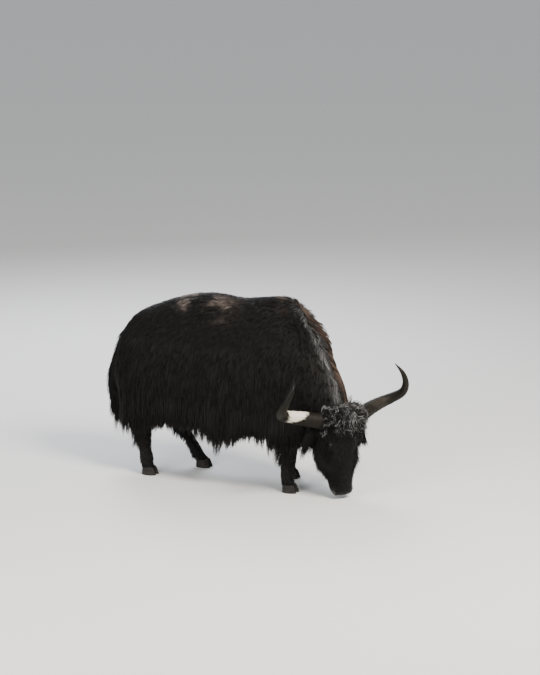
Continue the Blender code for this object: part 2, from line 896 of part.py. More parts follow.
def make_ear(side, name, home):
    """A cupped leaf: an open sheet with a thickness."""
    out = mirrored(EAR_DIRECTION, side).normalized()
    mouth = mirrored(EAR_OPENING, side)
    mouth = (mouth - out * mouth.dot(out)).normalized()
    edge = out.cross(mouth)
    shape = bmesh.new()
    rows = []
    for i in range(EAR_ROWS + 1):
        t = i / EAR_ROWS
        half, cup = along(EAR, t)
        half *= EAR_WIDTH / 2
        row = []
        for k in range(EAR_COLUMNS + 1):
            angle = math.pi * (k / EAR_COLUMNS - 0.5)
            depth = -2 * half * cup * math.cos(angle)
            place = mirrored(EAR_ROOT, side) + out * (EAR_LENGTH * t)
            place = place + edge * (half * math.sin(angle)) + mouth * depth
            row.append(shape.verts.new(place))
        rows.append(row)
    for first, second in zip(rows, rows[1:]):
        for k in range(EAR_COLUMNS):
            shape.faces.new((first[k], first[k + 1], second[k + 1], second[k]))
    bmesh.ops.recalc_face_normals(shape, faces=shape.faces)
    mesh = bpy.data.meshes.new(name)
    shape.to_mesh(mesh)
    shape.free()
    made = bpy.data.objects.new(name, mesh)
    home.objects.link(made)
    wall = made.modifiers.new("thickness", "SOLIDIFY")
    wall.thickness = EAR_THICKNESS
    wall.offset = 0
    applied(made)
    shape = bmesh.new()
    shape.from_mesh(made.data)
    bpy.data.objects.remove(made, do_unlink=True)
    return closed_object(name, shape, home)


# Legs: joints from the shoulder or hip to the top of the hoof, with the foot at the origin of X
FRONT_JOINTS = (
    (0.0, 0.00, 0.62),
    (1.0, -0.01, 0.50),
    (2.0, 0.012, 0.345),
    (3.0, -0.012, 0.115),
    (4.0, 0.0, HOOF_HEIGHT),
)
FRONT_GIRTH = (
    (0.0, 0.085, 0.060),
    (1.0, 0.080, 0.062),
    (1.5, 0.064, 0.058),
    (2.0, 0.058, 0.054),
    (2.35, 0.046, 0.044),
    (2.7, 0.044, 0.042),
    (3.0, 0.051, 0.047),
    (3.5, 0.044, 0.042),
    (4.0, 0.049, 0.047),
)
HIND_GIRTH = (
    (0.0, 0.110, 0.055),
    (1.0, 0.090, 0.060),
    (1.6, 0.060, 0.050),
    (2.0, 0.057, 0.047),
    (2.4, 0.046, 0.042),
    (2.7, 0.043, 0.040),
    (3.0, 0.051, 0.047),
    (3.5, 0.043, 0.041),
    (4.0, 0.049, 0.047),
)
LEG_RINGS = 13
LEG_SIDES = 10
SHOULDER_X = 0.0
HIP_X = -0.93


def front_joints(foot_x):
    keys = []
    for place, shift, height in FRONT_JOINTS:
        share = (height - HOOF_HEIGHT) / (FRONT_JOINTS[0][2] - HOOF_HEIGHT)
        keys.append((place, foot_x + shift + (SHOULDER_X - foot_x) * share**1.5, height))
    return keys


def hind_joints(hock_x, foot_x):
    fetlock_x = foot_x + 0.2 * (hock_x - foot_x) - 0.012
    return (
        (0.0, HIP_X, 0.64),
        (1.0, 0.6 * HIP_X + 0.4 * hock_x, 0.52),
        (2.0, hock_x, 0.40),
        (3.0, fetlock_x, 0.115),
        (4.0, foot_x, HOOF_HEIGHT),
    )


LEGS = {
    "leg_front_right": (front_joints(0.07), FRONT_GIRTH, -STANCE_HALF_WIDTH),
    "leg_front_left": (front_joints(-0.07), FRONT_GIRTH, STANCE_HALF_WIDTH),
    "leg_hind_right": (hind_joints(-1.03, -0.99), HIND_GIRTH, -STANCE_HALF_WIDTH),
    "leg_hind_left": (hind_joints(-0.96, -0.74), HIND_GIRTH, STANCE_HALF_WIDTH),
}


def leg_core(name, joints, girth, y, home):
    rings = []
    for i in range(LEG_RINGS):
        t = 4 * i / (LEG_RINGS - 1)
        x, z = along(joints, t)
        fore, side = along(girth, t)
        centre = Vector((x, y, z))
        if i == LEG_RINGS - 1:
            centre.z = HOOF_HEIGHT + GAP
        rings.append(
            ring(centre, ACROSS, Vector((1, 0, 0)), side, fore, fore, LEG_SIDES)
        )
    return loft(name, rings, home)


# Fringe down the back of each leg: share along the joints, angle from straight back, length
FRINGE = (
    (1.25, -25.0, 0.16),
    (1.35, 25.0, 0.16),
    (1.75, -10.0, 0.14),
    (1.95, 35.0, 0.13),
)


def fringe_locks(core, joints, girth, y, home):
    draw = random.Random(31)
    surface = surface_of(core)
    made = []
    for t, angle, length in FRINGE:
        x, z = along(joints, t)
        fore, side = along(girth, t)
        turn = math.radians(angle + draw.uniform(-6, 6))
        root = Vector((x - fore * math.cos(turn), y + side * math.sin(turn), z))
        pull = Vector((-0.1, 0, -1)).normalized()
        points, facings = hair_path(
            surface, root, length, pull, 0.010, draw.uniform(-0.005, 0.005), 3
        )
        made.append(lock("fringe", points, facings, *FRINGE_SIZE, home))
    return made


def make_leg(name, joints, girth, y, home):
    core = leg_core(name, joints, girth, y, home)
    return joined(core, fringe_locks(core, joints, girth, y, home))


# Claw: height, length, width and setback of the middle, all as shares
CLAW = ((0.0, 1.0, 1.0, 0.0), (1.0, 0.76, 0.88, 0.09))
CLAW_SETTING = 0.012
CLAW_SIDES = 10
CLAW_SQUARENESS = 2.4


def make_claw(name, foot_x, y, home):
    rings = []
    for height, length, width, back in CLAW:
        x = foot_x + CLAW_SETTING - back * HOOF_LENGTH
        rings.append(
            ring(
                Vector((x, y, height * HOOF_HEIGHT)),
                ACROSS,
                Vector((1, 0, 0)),
                CLAW_WIDTH / 2 * width,
                HOOF_LENGTH / 2 * length,
                HOOF_LENGTH / 2 * length,
                CLAW_SIDES,
                CLAW_SQUARENESS,
            )
        )
    return loft(name, rings, home)


# Tail, its body of packed hair: share of the way, place along X, height, radius
TAIL = (
    (0.0, -1.14, 0.99, 0.045),
    (0.25, -1.235, 0.91, 0.055),
    (0.5, -1.285, 0.76, 0.062),
    (0.8, -1.31, 0.58, 0.065),
    (1.0, -1.31, 0.44, 0.020),
)
TAIL_RINGS = 9
TAIL_SIDES = 10
# Rows of its locks: height of the root, locks in the row, length, how far they spread
TAIL_ROWS = (
    (0.76, 3, 0.30, 0.10),
    (0.62, 3, 0.32, 0.16),
    (0.52, 4, 0.30, 0.18),
)


def tail_core(home):
    rings = []
    for i in range(TAIL_RINGS):
        t = i / (TAIL_RINGS - 1)
        x, z, radius = along(TAIL, t)
        ahead_x, ahead_z, _ = along(TAIL, t + 0.04)
        behind_x, behind_z, _ = along(TAIL, t - 0.04)
        forward = Vector((ahead_x - behind_x, 0, ahead_z - behind_z)).normalized()
        back = forward.cross(ACROSS)
        rings.append(
            ring(Vector((x, 0, z)), ACROSS, back, radius, radius, radius, TAIL_SIDES)
        )
    return loft("tail", rings, home)


def tail_locks(core, home):
    draw = random.Random(41)
    surface = surface_of(core)
    made = []
    for height, count, length, spread in TAIL_ROWS:
        for i in range(count):
            angle = math.radians(-110 + 220 * (i + 0.5) / count + draw.uniform(-8, 8))
            heading = Vector((-math.cos(angle), math.sin(angle), 0))
            middle = TAIL[2][1] if height > 0.7 else TAIL[3][1]
            hit = surface.ray_cast(Vector((middle, 0, height)), heading)[0]
            pull = (DOWN + heading * spread).normalized()
            points, facings = hair_path(
                surface, hit, length * draw.uniform(0.92, 1.08), pull, 0.012, 0.004, 3
            )
            made.append(lock("tail lock", points, facings, *TAIL_LOCK_SIZE, home))
    return made


def make_tail(home):
    core = tail_core(home)
    return joined(core, tail_locks(core, home))


def centre_on_footprint(nodes):
    """Moves everything so that the box round the animal stands on the origin."""
    low = Vector((1e9, 1e9, 1e9))
    high = -low
    for node in nodes:
        for vertex in node.data.vertices:
            for k in range(3):
                low[k] = min(low[k], vertex.co[k])
                high[k] = max(high[k], vertex.co[k])
    shift = Vector((-(low.x + high.x) / 2, -(low.y + high.y) / 2, 0))
    shift = Vector((round(shift.x, 3), round(shift.y, 3), 0))
    stand = bpy.data.objects.new("yak", None)
    bpy.context.scene.collection.objects.link(stand)
    stand.location = shift
    for node in nodes:
        node.parent = stand


def main():
    clear_scene()
    home = collection_named("yak parts")
    coat = finish_named("black coat", COAT_BLACK, 0.7)
    horn = finish_named("horn", HORN_GREY, 0.35)
    hoof = finish_named("hoof", HOOF_BLACK, 0.5)
    eye = finish_named("eye", EYE_BROWN, 0.1)

    head = bare_head(home)
    attached = {"set in": [], "set on": []}
    finishes = []
    for side, word in ((1, "left"), (-1, "right")):
        ear = make_ear(side, "ear_" + word, home)
        cut_clear(ear, [head])
        eyeball = make_eye(side, "eye_" + word, home)
        horn_node = make_horn(side, "horn_" + word, home)
        attached["set in"] += [eyeball, horn_node]
        attached["set on"].append(ear)
        finishes += [(ear, coat), (eyeball, eye), (horn_node, horn)]
    head_pieces = finish_head(head, home, attached)
    neighbours = attached["set in"] + attached["set on"]
    for node in [head] + neighbours + head_pieces:
        node.data.transform(HEAD_PLACE)

    torso, torso_pieces = make_torso(home)
    cut_clear(torso, head_pieces)
    neck = make_neck(home)
    cut_clear(neck, torso_pieces + head_pieces + neighbours)
    tail = make_tail(home)
    cut_clear(tail, torso_pieces, TAIL_GAP)
    finishes += [(torso, coat), (head, coat), (neck, coat), (tail, coat)]
    for name, (joints, girth, y) in LEGS.items():
        leg = make_leg(name, joints, girth, y, home)
        cut_clear(leg, torso_pieces)
        finishes.append((leg, coat))
        foot_x = joints[-1][1]
        for word, away in (("outer", 1), ("inner", -1)):
            beside = math.copysign((CLAW_WIDTH + CLEFT) / 2, y) * away
            name_claw = name.replace("leg_", "claw_") + "_" + word
            claw = make_claw(name_claw, foot_x, y + beside, home)
            finishes.append((claw, hoof))
    discard(torso_pieces + head_pieces)
    for node, finish in finishes:
        node.data.materials.clear()
        node.data.materials.append(finish)
        node.data.shade_smooth()
        node.data.set_sharp_from_angle(angle=math.radians(40))
    centre_on_footprint([node for node, _ in finishes])


main()
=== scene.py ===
# A grazing yak, life-size: one skin under its long coat, with horns, eyes and hooves of their own.
# Shapes are worked out from the ground point under the withers, +X the way the animal faces.
import math

import bpy
import numpy as np
from mathutils import Matrix, Vector, kdtree, noise
from mathutils.bvhtree import BVHTree


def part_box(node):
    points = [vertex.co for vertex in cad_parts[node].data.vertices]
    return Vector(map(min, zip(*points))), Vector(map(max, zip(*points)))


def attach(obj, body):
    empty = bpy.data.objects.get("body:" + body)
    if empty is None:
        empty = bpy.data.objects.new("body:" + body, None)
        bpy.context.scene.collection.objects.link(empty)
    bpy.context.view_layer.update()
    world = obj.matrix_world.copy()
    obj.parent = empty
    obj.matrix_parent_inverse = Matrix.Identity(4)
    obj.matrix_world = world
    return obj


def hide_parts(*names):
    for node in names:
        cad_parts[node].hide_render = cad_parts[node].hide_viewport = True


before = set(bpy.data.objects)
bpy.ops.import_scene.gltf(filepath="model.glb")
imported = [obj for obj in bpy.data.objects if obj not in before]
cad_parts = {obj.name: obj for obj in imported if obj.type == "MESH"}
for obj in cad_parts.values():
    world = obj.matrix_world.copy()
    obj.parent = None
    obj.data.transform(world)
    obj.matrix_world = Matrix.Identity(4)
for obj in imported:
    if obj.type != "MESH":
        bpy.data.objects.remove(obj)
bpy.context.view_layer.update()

stance = {
    "side": 0.165,  # middle of a foot from the animal's middle plane
    "hoofHeight": 0.055,
    "hoofLength": 0.105,
    "clawWidth": 0.046,
    "cleft": 0.008,
    "clawSetting": 0.012,
    "frontRightFoot": 0.07,
}


def groundPoint():
    # the right front foot's outer claw stands at a known distance from this point
    low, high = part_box("claw_front_right_outer")
    middle = (low + high) / 2
    besideFoot = (stance["clawWidth"] + stance["cleft"]) / 2
    return np.array((
        middle.x - stance["frontRightFoot"] - stance["clawSetting"],
        middle.y + stance["side"] + besideFoot,
        0.0,
    ))


ground = groundPoint()
print("frame loaded, ground point", ground.round(4))


# Small helpers for arrays of points
def unit(vectors):
    length = np.linalg.norm(vectors, axis=-1, keepdims=True)
    return vectors / np.maximum(length, 1e-9)


def dot(a, b):
    return (a * b).sum(-1, keepdims=True)


def smoothStep(low, high, value):
    share = np.clip((value - low) / (high - low), 0.0, 1.0)
    return share * share * (3.0 - 2.0 * share)


def bump(value, middle, reach):
    return np.exp(-(((value - middle) / reach) ** 2))


def smoothAlong(stations, where):
    # values on a smooth curve through stations of (place, value, value, ...)
    keys = np.array(stations, float)
    where = np.clip(np.atleast_1d(where).astype(float), keys[0, 0], keys[-1, 0])
    last = len(keys) - 1
    i = np.clip(np.searchsorted(keys[:, 0], where, side="right") - 1, 0, last - 1)
    a, b = keys[i], keys[i + 1]
    before, after = keys[np.maximum(i - 1, 0)], keys[np.minimum(i + 2, last)]
    step = b[:, :1] - a[:, :1]
    s = (where[:, None] - a[:, :1]) / step
    slopeA = (b - before) / (b[:, :1] - before[:, :1]) * step
    slopeB = (after - a) / (after[:, :1] - a[:, :1]) * step
    found = (
        a * (1 + 2 * s) * (1 - s) ** 2
        + b * s * s * (3 - 2 * s)
        + slopeA * s * (1 - s) ** 2
        + slopeB * s * s * (s - 1)
    )
    return found[:, 1:]


def ovalRings(centres, across, up, halfWidth, rise, drop, sides, square=2.0, pinch=0.0):
    # rings of an oval section, squarer with a higher square, its upper half narrowed by pinch
    angle = 2 * math.pi * np.arange(sides) / sides
    c, s = np.cos(angle)[None, :], np.sin(angle)[None, :]
    power = 2 / np.broadcast_to(square, np.shape(halfWidth))[:, None]
    x = np.sign(c) * np.abs(c) ** power * halfWidth[:, None]
    reach = np.where(s > 0, rise[:, None], drop[:, None])
    z = np.sign(s) * np.abs(s) ** power * reach
    narrow = np.broadcast_to(pinch, np.shape(halfWidth))[:, None]
    x = x * (1 - narrow * np.maximum(s, 0) ** 2)
    return centres[:, None, :] + across[:, None, :] * x[..., None] + up[:, None, :] * z[..., None]


def addPiece(name, points, faces):
    mesh = bpy.data.meshes.new(name)
    mesh.from_pydata(points, [], faces)
    mesh.update()
    mesh.shade_smooth()
    piece = bpy.data.objects.new(name, mesh)
    bpy.context.scene.collection.objects.link(piece)
    return piece


def ringFaces(ringCount, sides):
    faces = []
    for r in range(ringCount - 1):
        a, b = r * sides, (r + 1) * sides
        for k in range(sides):
            n = (k + 1) % sides
            faces.append((a + k, a + n, b + n, b + k))
    return faces


def skinOver(name, rings):
    # a closed body through the rings, with a fan over each end, faces outwards
    count, sides, _ = rings.shape
    points = list(rings.reshape(-1, 3)) + [rings[0].mean(0), rings[-1].mean(0)]
    faces = ringFaces(count, sides)
    first, second, base = count * sides, count * sides + 1, (count - 1) * sides
    for k in range(sides):
        n = (k + 1) % sides
        faces.append((k, first, n))
        faces.append((base + n, second, base + k))
    piece = addPiece(name, [tuple(p) for p in points], faces)
    turnOutwards(piece)
    return piece


def selectOnly(*pieces):
    bpy.ops.object.select_all(action="DESELECT")
    for piece in pieces:
        piece.select_set(True)
    bpy.context.view_layer.objects.active = pieces[0]


def turnOutwards(piece):
    selectOnly(piece)
    bpy.ops.object.mode_set(mode="EDIT")
    bpy.ops.mesh.select_all(action="SELECT")
    bpy.ops.mesh.normals_make_consistent(inside=False)
    bpy.ops.object.mode_set(mode="OBJECT")


def treeOf(points, numbers=None):
    # finds the nearest of some points, by their own numbers or in order
    tree = kdtree.KDTree(len(points))
    for i, point in enumerate(points):
        tree.insert(point, i if numbers is None else int(numbers[i]))
    tree.balance()
    return tree


def addMarks(mesh, name, marks):
    # four values at each point, which the materials read
    attribute = mesh.attributes.new(name, "FLOAT_COLOR", "POINT")
    attribute.data.foreach_set("color", marks.astype(np.float32).ravel())


def applyModifier(piece, kind, **settings):
    modifier = piece.modifiers.new(kind.lower(), kind)
    for key, value in settings.items():
        setattr(modifier, key, value)
    selectOnly(piece)
    bpy.ops.object.modifier_apply(modifier=modifier.name)


def evenPlaces(first, last, count, ends=0.5):
    # places from first to last, closer together at both ends
    i = np.arange(count) / (count - 1)
    return first + (last - first) * (ends * (0.5 - 0.5 * np.cos(math.pi * i)) + (1 - ends) * i)


# Trunk: place, height of the back with its short coat, half width, how much the top narrows
trunk = {
    "rear": -1.265,
    "front": 0.30,
    "belly": 0.40,
    "endLift": 0.18,
    "widest": 0.74,
    "square": 2.5,
    "coatDepth": 0.012,
    "rings": 80,
    "sides": 84,
    "stations": (
        (-1.265, 0.90, 0.05, 0.0),
        (-1.235, 0.99, 0.14, 0.1),
        (-1.14, 1.10, 0.235, 0.2),
        (-0.96, 1.185, 0.285, 0.25),
        (-0.75, 1.255, 0.305, 0.25),
        (-0.55, 1.28, 0.315, 0.3),
        (-0.34, 1.265, 0.315, 0.35),
        (-0.13, 1.295, 0.305, 0.45),
        (0.0, 1.30, 0.285, 0.5),
        (0.11, 1.23, 0.26, 0.45),
        (0.21, 1.06, 0.205, 0.3),
        (0.27, 0.90, 0.14, 0.1),
        (0.30, 0.80, 0.05, 0.0),
    ),
}


def trunkRings():
    depth = trunk["coatDepth"]
    x = evenPlaces(trunk["rear"], trunk["front"], trunk["rings"], 0.6)
    top, halfWidth, pinch = smoothAlong(trunk["stations"], x).T
    reach = (x - trunk["rear"]) / (trunk["front"] - trunk["rear"])
    floor = trunk["belly"] + trunk["endLift"] * np.abs(2 * reach - 1) ** 6
    middle = (trunk["rear"] + trunk["front"]) / 2
    x = middle + (x - middle) * (1 - 2 * depth / (trunk["front"] - trunk["rear"]))
    centres = np.stack((x, 0 * x, 0 * x + trunk["widest"]), -1)
    across = np.tile((0.0, 1.0, 0.0), (len(x), 1))
    up = np.tile((0.0, 0.0, 1.0), (len(x), 1))
    return ovalRings(
        centres, across, up,
        np.maximum(halfWidth - depth, 0.02),
        top - trunk["widest"] - depth,
        trunk["widest"] - floor - depth,
        trunk["sides"], trunk["square"], pinch,
    )


# Neck: share of the way, centre, half width, reach to the crest and to the throat
neck = {
    "rings": 40,
    "sides": 56,
    "coatDepth": 0.014,
    "crestDip": 0.022,  # deeper where the crest dips half way along
    "stations": (
        (0.0, -0.02, 0.0, 0.98, 0.19, 0.26, 0.26),
        (0.35, 0.12, -0.01, 0.87, 0.185, 0.21, 0.26),
        (0.7, 0.27, -0.06, 0.68, 0.155, 0.165, 0.22),
        (1.0, 0.37, -0.12, 0.54, 0.12, 0.12, 0.16),
    ),
}


def neckFrames(t):
    found = smoothAlong(neck["stations"], t)
    forward = unit(
        smoothAlong(neck["stations"], np.asarray(t) + 0.05)[:, :3]
        - smoothAlong(neck["stations"], np.asarray(t) - 0.05)[:, :3]
    )
    crest = unit(np.array((1.0, 0.0, 0.0)) - forward * forward[:, :1])
    side = unit(np.cross(crest, forward))
    return found[:, :3], side, crest, found[:, 3], found[:, 4], found[:, 5]


def neckRings():
    depth = neck["coatDepth"]
    share = np.linspace(0, 1, neck["rings"])
    centres, side, crest, halfWidth, rise, drop = neckFrames(share)
    rise = rise - neck["crestDip"] * bump(share, 0.50, 0.16)
    return ovalRings(
        centres, side, crest, halfWidth - depth, rise - depth, drop - depth, neck["sides"]
    )


# Legs: shoulder or hip down to the hoof, with reaches fore and aft and to the side
legs = {
    "rings": 56,
    "sides": 32,
    "coatDepth": 0.005,
    "frontJoints": ((0.0, 0.0, 0.62), (1.0, -0.01, 0.50), (2.0, 0.012, 0.345),
                    (3.0, -0.012, 0.115), (4.0, 0.0, 0.055)),
    "frontGirth": ((0.0, 0.085, 0.060), (1.0, 0.080, 0.062), (1.5, 0.064, 0.058),
                   (2.0, 0.058, 0.054), (2.35, 0.046, 0.044), (2.7, 0.044, 0.042),
                   (3.0, 0.051, 0.047), (3.5, 0.044, 0.042), (4.0, 0.049, 0.047)),
    "hindGirth": ((0.0, 0.110, 0.055), (1.0, 0.090, 0.060), (1.6, 0.060, 0.050),
                  (2.0, 0.057, 0.047), (2.4, 0.046, 0.042), (2.7, 0.043, 0.040),
                  (3.0, 0.051, 0.047), (3.5, 0.043, 0.041), (4.0, 0.049, 0.047)),
    "shoulder": 0.0,
    "hip": -0.93,
    # name: front or hind, hock, foot, side
    "feet": {
        "front_right": ("front", None, 0.07, -1),
        "front_left": ("front", None, -0.07, 1),
        "hind_right": ("hind", -1.03, -0.99, -1),
        "hind_left": ("hind", -0.96, -0.74, 1),
    },
    "hockPoint": 0.012,
}


def legJoints(kind, hock, foot):
    hoof = stance["hoofHeight"]
    if kind == "front":
        top = legs["frontJoints"][0][2]
        found = []
        for place, shift, height in legs["frontJoints"]:
            share = (height - hoof) / (top - hoof)
            found.append((place, foot + shift + (legs["shoulder"] - foot) * share**1.5, height))
        return found
    return (
        (0.0, legs["hip"], 0.64),
        (1.0, 0.6 * legs["hip"] + 0.4 * hock, 0.52),
        (2.0, hock, 0.40),
        (3.0, foot + 0.2 * (hock - foot) - 0.012, 0.115),
        (4.0, foot, hoof),
    )


def legRings(kind, hock, foot, side):
    t = np.linspace(0, 4, legs["rings"])
    x, z = smoothAlong(legJoints(kind, hock, foot), t).T
    girth = legs["frontGirth"] if kind == "front" else legs["hindGirth"]
    fore, wide = smoothAlong(girth, t).T
    lowest = t == 4
    z = np.where(lowest, stance["hoofHeight"] + 0.0008, z)
    centres = np.stack((x, 0 * x + side * stance["side"], z), -1)
    across = np.tile((0.0, 1.0, 0.0), (len(t), 1))
    up = np.tile((1.0, 0.0, 0.0), (len(t), 1))
    depth = legs["coatDepth"] * (t > 0.5)
    aft = fore - depth
    if kind == "hind":
        aft = aft + legs["hockPoint"] * bump(t, 1.95, 0.16)
    else:
        fore = fore + 0.006 * bump(t, 2.0, 0.2)
    return ovalRings(centres, across, up, wide - depth, fore - depth, aft, legs["sides"], 2.2)


# Tail: share of the way, place along X, height, radius
tail = {
    "rings": 36,
    "sides": 24,
    "coatDepth": 0.020,
    "stations": (
        (0.0, -1.14, 0.99, 0.045),
        (0.25, -1.235, 0.91, 0.055),
        (0.5, -1.285, 0.76, 0.062),
        (0.8, -1.31, 0.58, 0.065),
        (1.0, -1.31, 0.44, 0.020),
    ),
}


def tailRings():
    t = np.linspace(0, 1, tail["rings"])
    x, z, radius = smoothAlong(tail["stations"], t).T
    way = smoothAlong(tail["stations"], t + 0.04) - smoothAlong(tail["stations"], t - 0.04)
    forward = unit(np.stack((way[:, 0], 0 * t, way[:, 1]), -1))
    across = np.tile((0.0, 1.0, 0.0), (len(t), 1))
    back = np.cross(forward, across)
    radius = np.maximum(radius - tail["coatDepth"] * smoothStep(0.0, 0.3, t), 0.012)
    return ovalRings(np.stack((x, 0 * x, z), -1), across, back, radius, radius, radius, tail["sides"])


# Head in its own frame: +X to the muzzle, +Y left, +Z out of the forehead.
# Place, half width, top, bottom, squareness, how much the jaw narrows
head = {
    "length": 0.53,
    "centre": (0.48, -0.17, 0.555),
    "pitch": math.radians(87),
    "yaw": math.radians(-33),
    "coatDepth": 0.003,
    "rings": 230,
    "sides": 150,
    "stations": (
        (-0.075, 0.045, 0.000, -0.090, 2.0, 0.0),
        (-0.055, 0.085, 0.025, -0.130, 2.1, 0.0),
        (-0.01, 0.115, 0.040, -0.200, 2.2, 0.1),
        (0.06, 0.125, 0.046, -0.282, 2.4, 0.2),
        (0.14, 0.119, 0.044, -0.312, 2.5, 0.25),
        (0.22, 0.105, 0.036, -0.305, 2.5, 0.3),
        (0.31, 0.086, 0.022, -0.264, 2.5, 0.3),
        (0.40, 0.069, 0.006, -0.202, 2.4, 0.25),
        (0.46, 0.065, -0.006, -0.158, 2.5, 0.2),
        (0.50, 0.060, -0.016, -0.130, 2.5, 0.15),
        (0.522, 0.049, -0.028, -0.108, 2.4, 0.1),
        (0.53, 0.026, -0.045, -0.088, 2.0, 0.0),
    ),
    # swellings and hollows of the left side: middle, reach, height
    "forms": (
        ((0.140, 0.085, 0.010), 0.038, 0.014),  # brow
        ((0.215, 0.090, -0.110), 0.060, 0.008),  # cheek
        ((0.497, 0.052, -0.035), 0.024, 0.010),  # wing of the nostril
        ((0.490, 0.040, -0.075), 0.040, 0.008),  # pad of the muzzle
        ((0.470, 0.035, -0.125), 0.035, 0.010),  # lower lip and chin
        ((0.090, 0.108, -0.060), 0.030, -0.007),  # hollow behind the eye
        ((0.225, 0.072, -0.020), 0.030, -0.005),  # hollow before the eye
        ((0.270, 0.066, -0.075), 0.034, 0.005),  # crest of the cheek
        ((0.370, 0.050, -0.080), 0.045, -0.004),  # side of the nose
        ((0.440, 0.050, -0.020), 0.022, -0.003),  # above the nostril
        ((0.410, 0.045, -0.145), 0.030, -0.003),  # under the corner of the mouth
    ),
}
headPlace = (
    Matrix.Translation(head["centre"])
    @ Matrix.Rotation(head["yaw"], 4, "Z")
    @ Matrix.Rotation(head["pitch"], 4, "Y")
)
headTurn = np.array(headPlace.to_3x3())
headCentre = np.array(head["centre"])


def fromHead(points):
    return points @ headTurn.T + headCentre


def toHead(points):
    return (points - headCentre) @ headTurn


def headSections(x):
    halfWidth, top, bottom, square, pinch = smoothAlong(head["stations"], x).T
    depth = head["coatDepth"]
    halfWidth, top, bottom = halfWidth - depth, top - depth, bottom + depth
    middle = top + 0.40 * (bottom - top)
    return halfWidth, middle, top - middle, middle - bottom, square, pinch


def headSide(x, z):
    # half the head's width at height z of the section at x
    halfWidth, middle, rise, drop, square, pinch = (v[0] for v in headSections(x))
    share = min(abs((z - middle) / (rise if z > middle else drop)), 0.999)
    width = halfWidth * (1 - share**square) ** (1 / square)
    return width * (1 - pinch * share**2) if z < middle else width


# Eye and its lids, in the head's frame for the left side
eye = {
    "place": (0.165, 0.091, -0.028),
    "facing": (-0.05, 0.90, 0.40),
    "radius": 0.021,
    "corner": (1.0, 0.0, -0.25),
    "halfLength": 0.0245,
    "halfOpening": 0.0118,
    "lidAbove": 0.0050,
    "lidBelow": 0.0038,
    "lidDepth": 0.0030,
}


def eyeAxes(side):
    mirror = np.array((1.0, side, 1.0))
    out = unit(np.array(eye["facing"]) * mirror)
    corner = np.array(eye["corner"])
    corner = unit(corner - out * (corner @ out))
    upper = np.cross(out, corner) * side
    return np.array(eye["place"]) * mirror, out, corner, upper


def withForms(points):
    # the plain head moved out or in by the forms of the face
    _, middle, _, _, _, _ = headSections(points[:, 0])
    inside = np.stack((points[:, 0] - 0.02, 0 * middle, middle), -1)
    out = unit(points - inside)
    moved = np.zeros(len(points))
    for place, reach, height in head["forms"]:
        for side in (1, -1):
            away = np.linalg.norm(points - np.array(place) * (1, side, 1), axis=1) / reach
            moved += height * np.exp(-away * away)
    x, y, z = points.T
    moved -= 0.0028 * bump(y, 0, 0.0035) * smoothStep(0.485, 0.51, x) * smoothStep(-0.10, -0.07, z)
    for side in (1, -1):
        centre, facing, corner, upper = eyeAxes(side)
        u, v = (points - centre) @ corner, (points - centre) @ upper
        beyond = ((points - centre) @ facing) > 0
        # folds of skin above and below the lids
        ring = np.sqrt((u / 0.036) ** 2 + (v / 0.024) ** 2)
        moved += np.where(beyond, 0.0028 * bump(ring, 1.15, 0.16) * (0.6 + 0.4 * np.sign(v)), 0)
        moved -= np.where(beyond, 0.0020 * bump(ring, 1.5, 0.12), 0)
    points = points + out * moved[:, None]
    return roundEye(roundEye(points, 1), -1)


def roundEye(points, side):
    # the skin follows the eyeball as its lids, and lies behind it where they open
    centre, facing, corner, upper = eyeAxes(side)
    away = points - centre
    distance = np.linalg.norm(away, axis=1)
    u, v = away @ corner, away @ upper
    near = np.sqrt((u / eye["halfLength"]) ** 2 + (v / eye["halfOpening"]) ** 2)
    opened = 1 - smoothStep(0.85, 1.05, near)
    lying = np.maximum(distance, eye["radius"] + eye["lidDepth"])
    wanted = lying * (1 - opened) + np.minimum(distance, eye["radius"] * 0.8) * opened
    changed = (away @ facing > 0) & (distance < 0.05)
    return centre + away * np.where(changed, wanted / np.maximum(distance, 1e-6), 1)[:, None]


# Mouth and nostrils, in the head's frame
mouth = {
    "corner": 0.405, "front": 0.527, "height": -0.106, "gape": 0.0035, "depth": 0.013,
    "cornerLift": 0.012, "lip": 0.0035, "lipReach": 0.007,
}
nostril = {
    "place": (0.510, 0.047, -0.024),
    "slant": (-0.55, 0.75, -0.35),
    "radius": 0.0085,
    "tailLength": 0.020,
}


def mouthLine():
    # points from the left corner round the front to the right corner, with a share to the front
    t = np.linspace(0, 1, 26)
    x = mouth["corner"] + (mouth["front"] - mouth["corner"]) * np.sin(t * math.pi / 2)
    y = np.array([max(headSide(v, mouth["height"]), 0.003) for v in x])
    z = mouth["height"] + mouth["cornerLift"] * (1 - t) ** 2
    half = np.stack((x, y, z), -1)
    return np.concatenate((half, half[-2::-1] * (1, -1, 1))), np.concatenate((t, t[-2::-1]))


